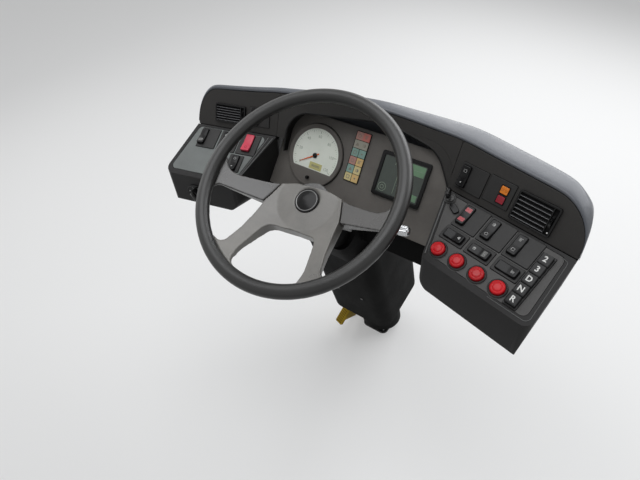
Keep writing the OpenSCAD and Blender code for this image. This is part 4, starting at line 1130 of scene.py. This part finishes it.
def make_key():
    """Ignition lock with its key, a ring and a tag that lies on the shelf."""
    x, y = KEY_AT
    space = SHELF[RIGHT]
    lock_top = 5.6
    flange = [(0.01, LIFT), (12, LIFT), (12, 1.6), (11, 2.4)]
    barrel = [(9.6, 2.4), (9.2, 5), (8, lock_top), (0.01, lock_top)]
    Body(space).lathe(flange + barrel, x, y, 40).done("lock", "ring", 0.2, "key_lock")
    key = moved(x, y, lock_top) @ turned("Z", 24)
    Body(space).slab(-1.3, -4.4, 1.3, 4.4, -1, 8, 0, key).done("key_blade", "steel", 0.2)
    corners = [(-5, 6), (5, 6), (11.5, 13), (9, 24), (-9, 24), (-11.5, 13)]
    outline = rounded(corners, [2, 2, 4, 5, 5, 4], 4)
    grip = Body(space).prism(outline, -2.8, 2.8, key @ turned("Z", 90) @ turned("X", 90))
    grip.done("key_grip", "black", 1, "ignition_key")
    hang = key @ turned("Z", 90) @ moved(0, 0, 20) @ turned("X", 90) @ turned("Y", 34)
    loop = [(*polar(8, 12 * k, 0, 4), 0) for k in range(31)]
    Body(space).tube(loop, 0.7, 8, hang).done("key_ring", "screw")
    corners = [(0, -3), (8, -6.5), (26, -6.5), (26, 6.5), (8, 6.5), (0, 3)]
    outline = rounded(corners, [2, 3, 4, 4, 3, 2], 4)
    lying = moved(x + 9, y - 8, 0.4) @ turned("Z", -27)
    Body(space).prism(outline, 0, 4.2, lying).done("key_tag", "black", 1.4)


def make_buttons():
    """Four red push buttons with a raised middle, each in its ring."""
    r = BUTTON_R
    cap_profile = [
        (0.01, LIFT), (r - 0.4, LIFT), (r - 0.4, 6.6), (r - 1.2, 8), (r - 3, 8.9), (r - 3.8, 9),
        (r - 4.2, 8.6), (r - 5, 8.6), (r - 5.4, 9.1), (r * 0.35, 9.7), (0.01, 9.8),
    ]
    ring_profile = [(r + 0.4, LIFT), (18, LIFT), (18, 2), (17, 3.4), (15.6, 3.9), (r + 0.6, 3.2)]
    gap_profile = [(18, 0.05), (19.6, 0.05), (19.6, 0.5), (18, 0.5)]
    for i, (x, y) in enumerate(BUTTONS):
        cap = Body(SHELF[RIGHT]).lathe(cap_profile, x, y, 48)
        cap.done("button_%d" % i, "red", 0, None if i else "red_buttons", 50)
        ring = Body(SHELF[RIGHT])
        ring.lathe(ring_profile, x, y, 48)
        ring.lathe(gap_profile, x, y, 48)
        ring.done("button_ring_%d" % i, "ring", 0.2, None if i else "red_button_rings")
        ink = Body(SHELF[RIGHT])
        icon(ink, BUTTON_SIGNS[i], 8, moved(x, y, 9.55) @ turned("Z", -WING_TURN))
        ink.done("button_sign_%d" % i, "sign_red")


def make_gear_keys():
    """Five keys that rise toward the windscreen, each with its letter or figure."""
    x, y = GEAR_AT
    w, l = 21, GEAR_PITCH - 1
    low, rise = 7, 3
    for k, sign in enumerate(GEARS):
        key = Body(SHELF[RIGHT])
        local = moved(x, y + GEAR_PITCH * k, PLATE_T)
        cushion(key, w, l, local, lambda f: low + rise * f, 1.6, 1.4, 10)
        key.done("gear_key_%d" % k, "black", 0, None if k else "gear_keys", 40)
        slope = math.degrees(math.atan(rise / l))
        top = local @ moved(10, l / 2, low + rise / 2) @ turned("X", slope)
        letters("gear_sign_%d" % k, sign, SHELF[RIGHT], top, 14.5, "print_white", 0.25, 0.35)


def make_headlamp_switch():
    """Rotary switch on the left tray's front, with signs round its grip."""
    space = WING[LEFT] @ moved(SWITCH_AT[0], -SHELF_RUN, SWITCH_AT[1]) @ turned("X", 90)
    grip_place = moved(0, 0, 10) @ turned("Z", SWITCH_TURN)
    profile = [(0.01, LIFT), (28, LIFT), (28, 2), (26.8, 3), (25, 3), (24.4, 2.2), (0.01, 2.2)]
    Body(space).lathe(profile, 0, 0, 64).done("switch_base", "black", 0.2, "headlamp_switch")
    Body(space).prism(star(14.9, 14.2, 6), 2.2, 13).done("switch_knob", "black", 0.5)
    grip = Body(space)
    cushion(grip, 8, 29, grip_place @ moved(-4, -14.5), lambda f: 8.6, 2.6, 2, 14)
    grip.done("switch_grip", "ring", angle=40)
    ink = Body(space)
    for k, kind in enumerate(("dot", "lamp", "bars", "ring", "wedge", "box")):
        x, y = polar(19.6, 200 - 44 * k)
        icon(ink, kind, 5.2, moved(x, y, 2.25))
    ink.slab(-0.7, 8, 0.7, 13.4, 8.62, 8.75, 0, grip_place)
    ink.done("switch_signs", "print_soft")


def make_lever():
    """Lever with a ribbed bright knob."""
    root, end = Vector(LEVER_ROOT), Vector(LEVER_END)
    way = end - root
    space = WHEEL @ Matrix.Translation(root) @ way.to_track_quat("Z", "Y").to_matrix().to_4x4()
    high = way.length
    low = high - LEVER_KNOB_L
    stalk = [(0.01, 0), (7, 0), (6.9, 40), (5.2, 90), (5.2, high - 40), (6.6, low), (0.01, low)]
    Body(space).lathe(stalk, 0, 0, 32).done("lever_stalk", "black", 0, "lever", 40)
    knob = Body(space)
    foot = [(0.01, low), (8.6, low), (9.8, low + 2), (9.8, low + 5.5), (0.01, low + 5.5)]
    head = [(0.01, high - 6), (10, high - 6), (9.6, high - 3), (6.5, high - 0.4), (0.01, high)]
    knob.prism(star(10.9, 10, 9), low + 5, high - 5.5)
    knob.lathe(foot, 0, 0, 32)
    knob.lathe(head, 0, 0, 32)
    knob.done("lever_knob", "chrome", 0.3, "lever_tip")


def make_column():
    """Screws in the front of the column's cover, and the seams along its sides."""
    screws, seats, seams = Body(COLUMN), Body(COLUMN), Body(COLUMN)
    seat_profile = [(0.01, 0.05), (6.4, 0.05), (7.4, 0.05), (7, 0.9), (6.2, 0.9), (5.8, 0.3), (0.01, 0.3)]
    for x, z in COVER_SCREWS:
        local = moved(x, COLUMN_FRONT, z) @ turned("X", 90)
        seats.lathe(seat_profile, 0, 0, 28, local)
        screws.lathe([(0.01, 0.3), (4, 0.3), (3.8, 1.3), (2.6, 1.8), (0.01, 1.9)], 0, 0, 24, local)
    seats.done("screw_seats", "deep")
    screws.done("screws", "screw", 0.2)
    for side in (LEFT, RIGHT):
        local = moved(side * COLUMN_SIDE, 0) @ turned("Y", 90 * side)
        x0, x1 = sorted((-side * SEAM_FROM, -side * SEAM_TO))
        seams.slab(x0, -0.6, x1, 0.6, -0.2, 0.25, 0, local)
    seams.done("shroud_seams", "deep")


def make_pedal():
    """Ribs and raised border on the release pedal's pad."""
    pad = moved(*PEDAL_AT) @ turned("Z", PEDAL_TURN) @ turned("X", PEDAL_TILT)
    border = Body(pad)
    frame_ring(border, (-14.5, -39, 14.5, 39), 2.2, PEDAL_TOP + 1.6, PEDAL_TOP + 0.6, 4, 2)
    border.done("pedal_border", "yellow", 0.4, body="foot")
    ribs = Body(pad)
    for k in range(9):
        y = -32 + 8 * k
        ribs.slab(-11.5, y - 1.7, 11.5, y + 1.7, PEDAL_TOP + 0.4, PEDAL_TOP + 1.9, 1)
    ribs.done("pedal_ribs", "yellow_dark", 0.5, body="foot")


make_camera()
make_world()
make_floor()
for light in LIGHTS:
    area_light(*light)
dress_nodes()
soft_tray("tray_left", LEFT)
soft_tray("tray_right", RIGHT)
make_tray_corner("tray_corner_left", LEFT)
make_tray_corner("tray_corner_right", RIGHT)
make_cowl()
make_rim()
make_badge()
make_speedometer()
make_dial()
make_trip_knob()
make_lamps()
make_display()
make_recess()
make_vent("vent_left", LEFT, VENT_LEFT)
make_vent("vent_right", RIGHT, VENT_RIGHT)
make_rockers()
make_gaps()
make_beads()
make_end_strip()
make_outer_bead()
make_lamps_right()
make_key()
make_buttons()
make_gear_keys()
make_headlamp_switch()
make_lever()
make_column()
make_pedal()

bpy.context.scene.view_settings.view_transform = "Standard"
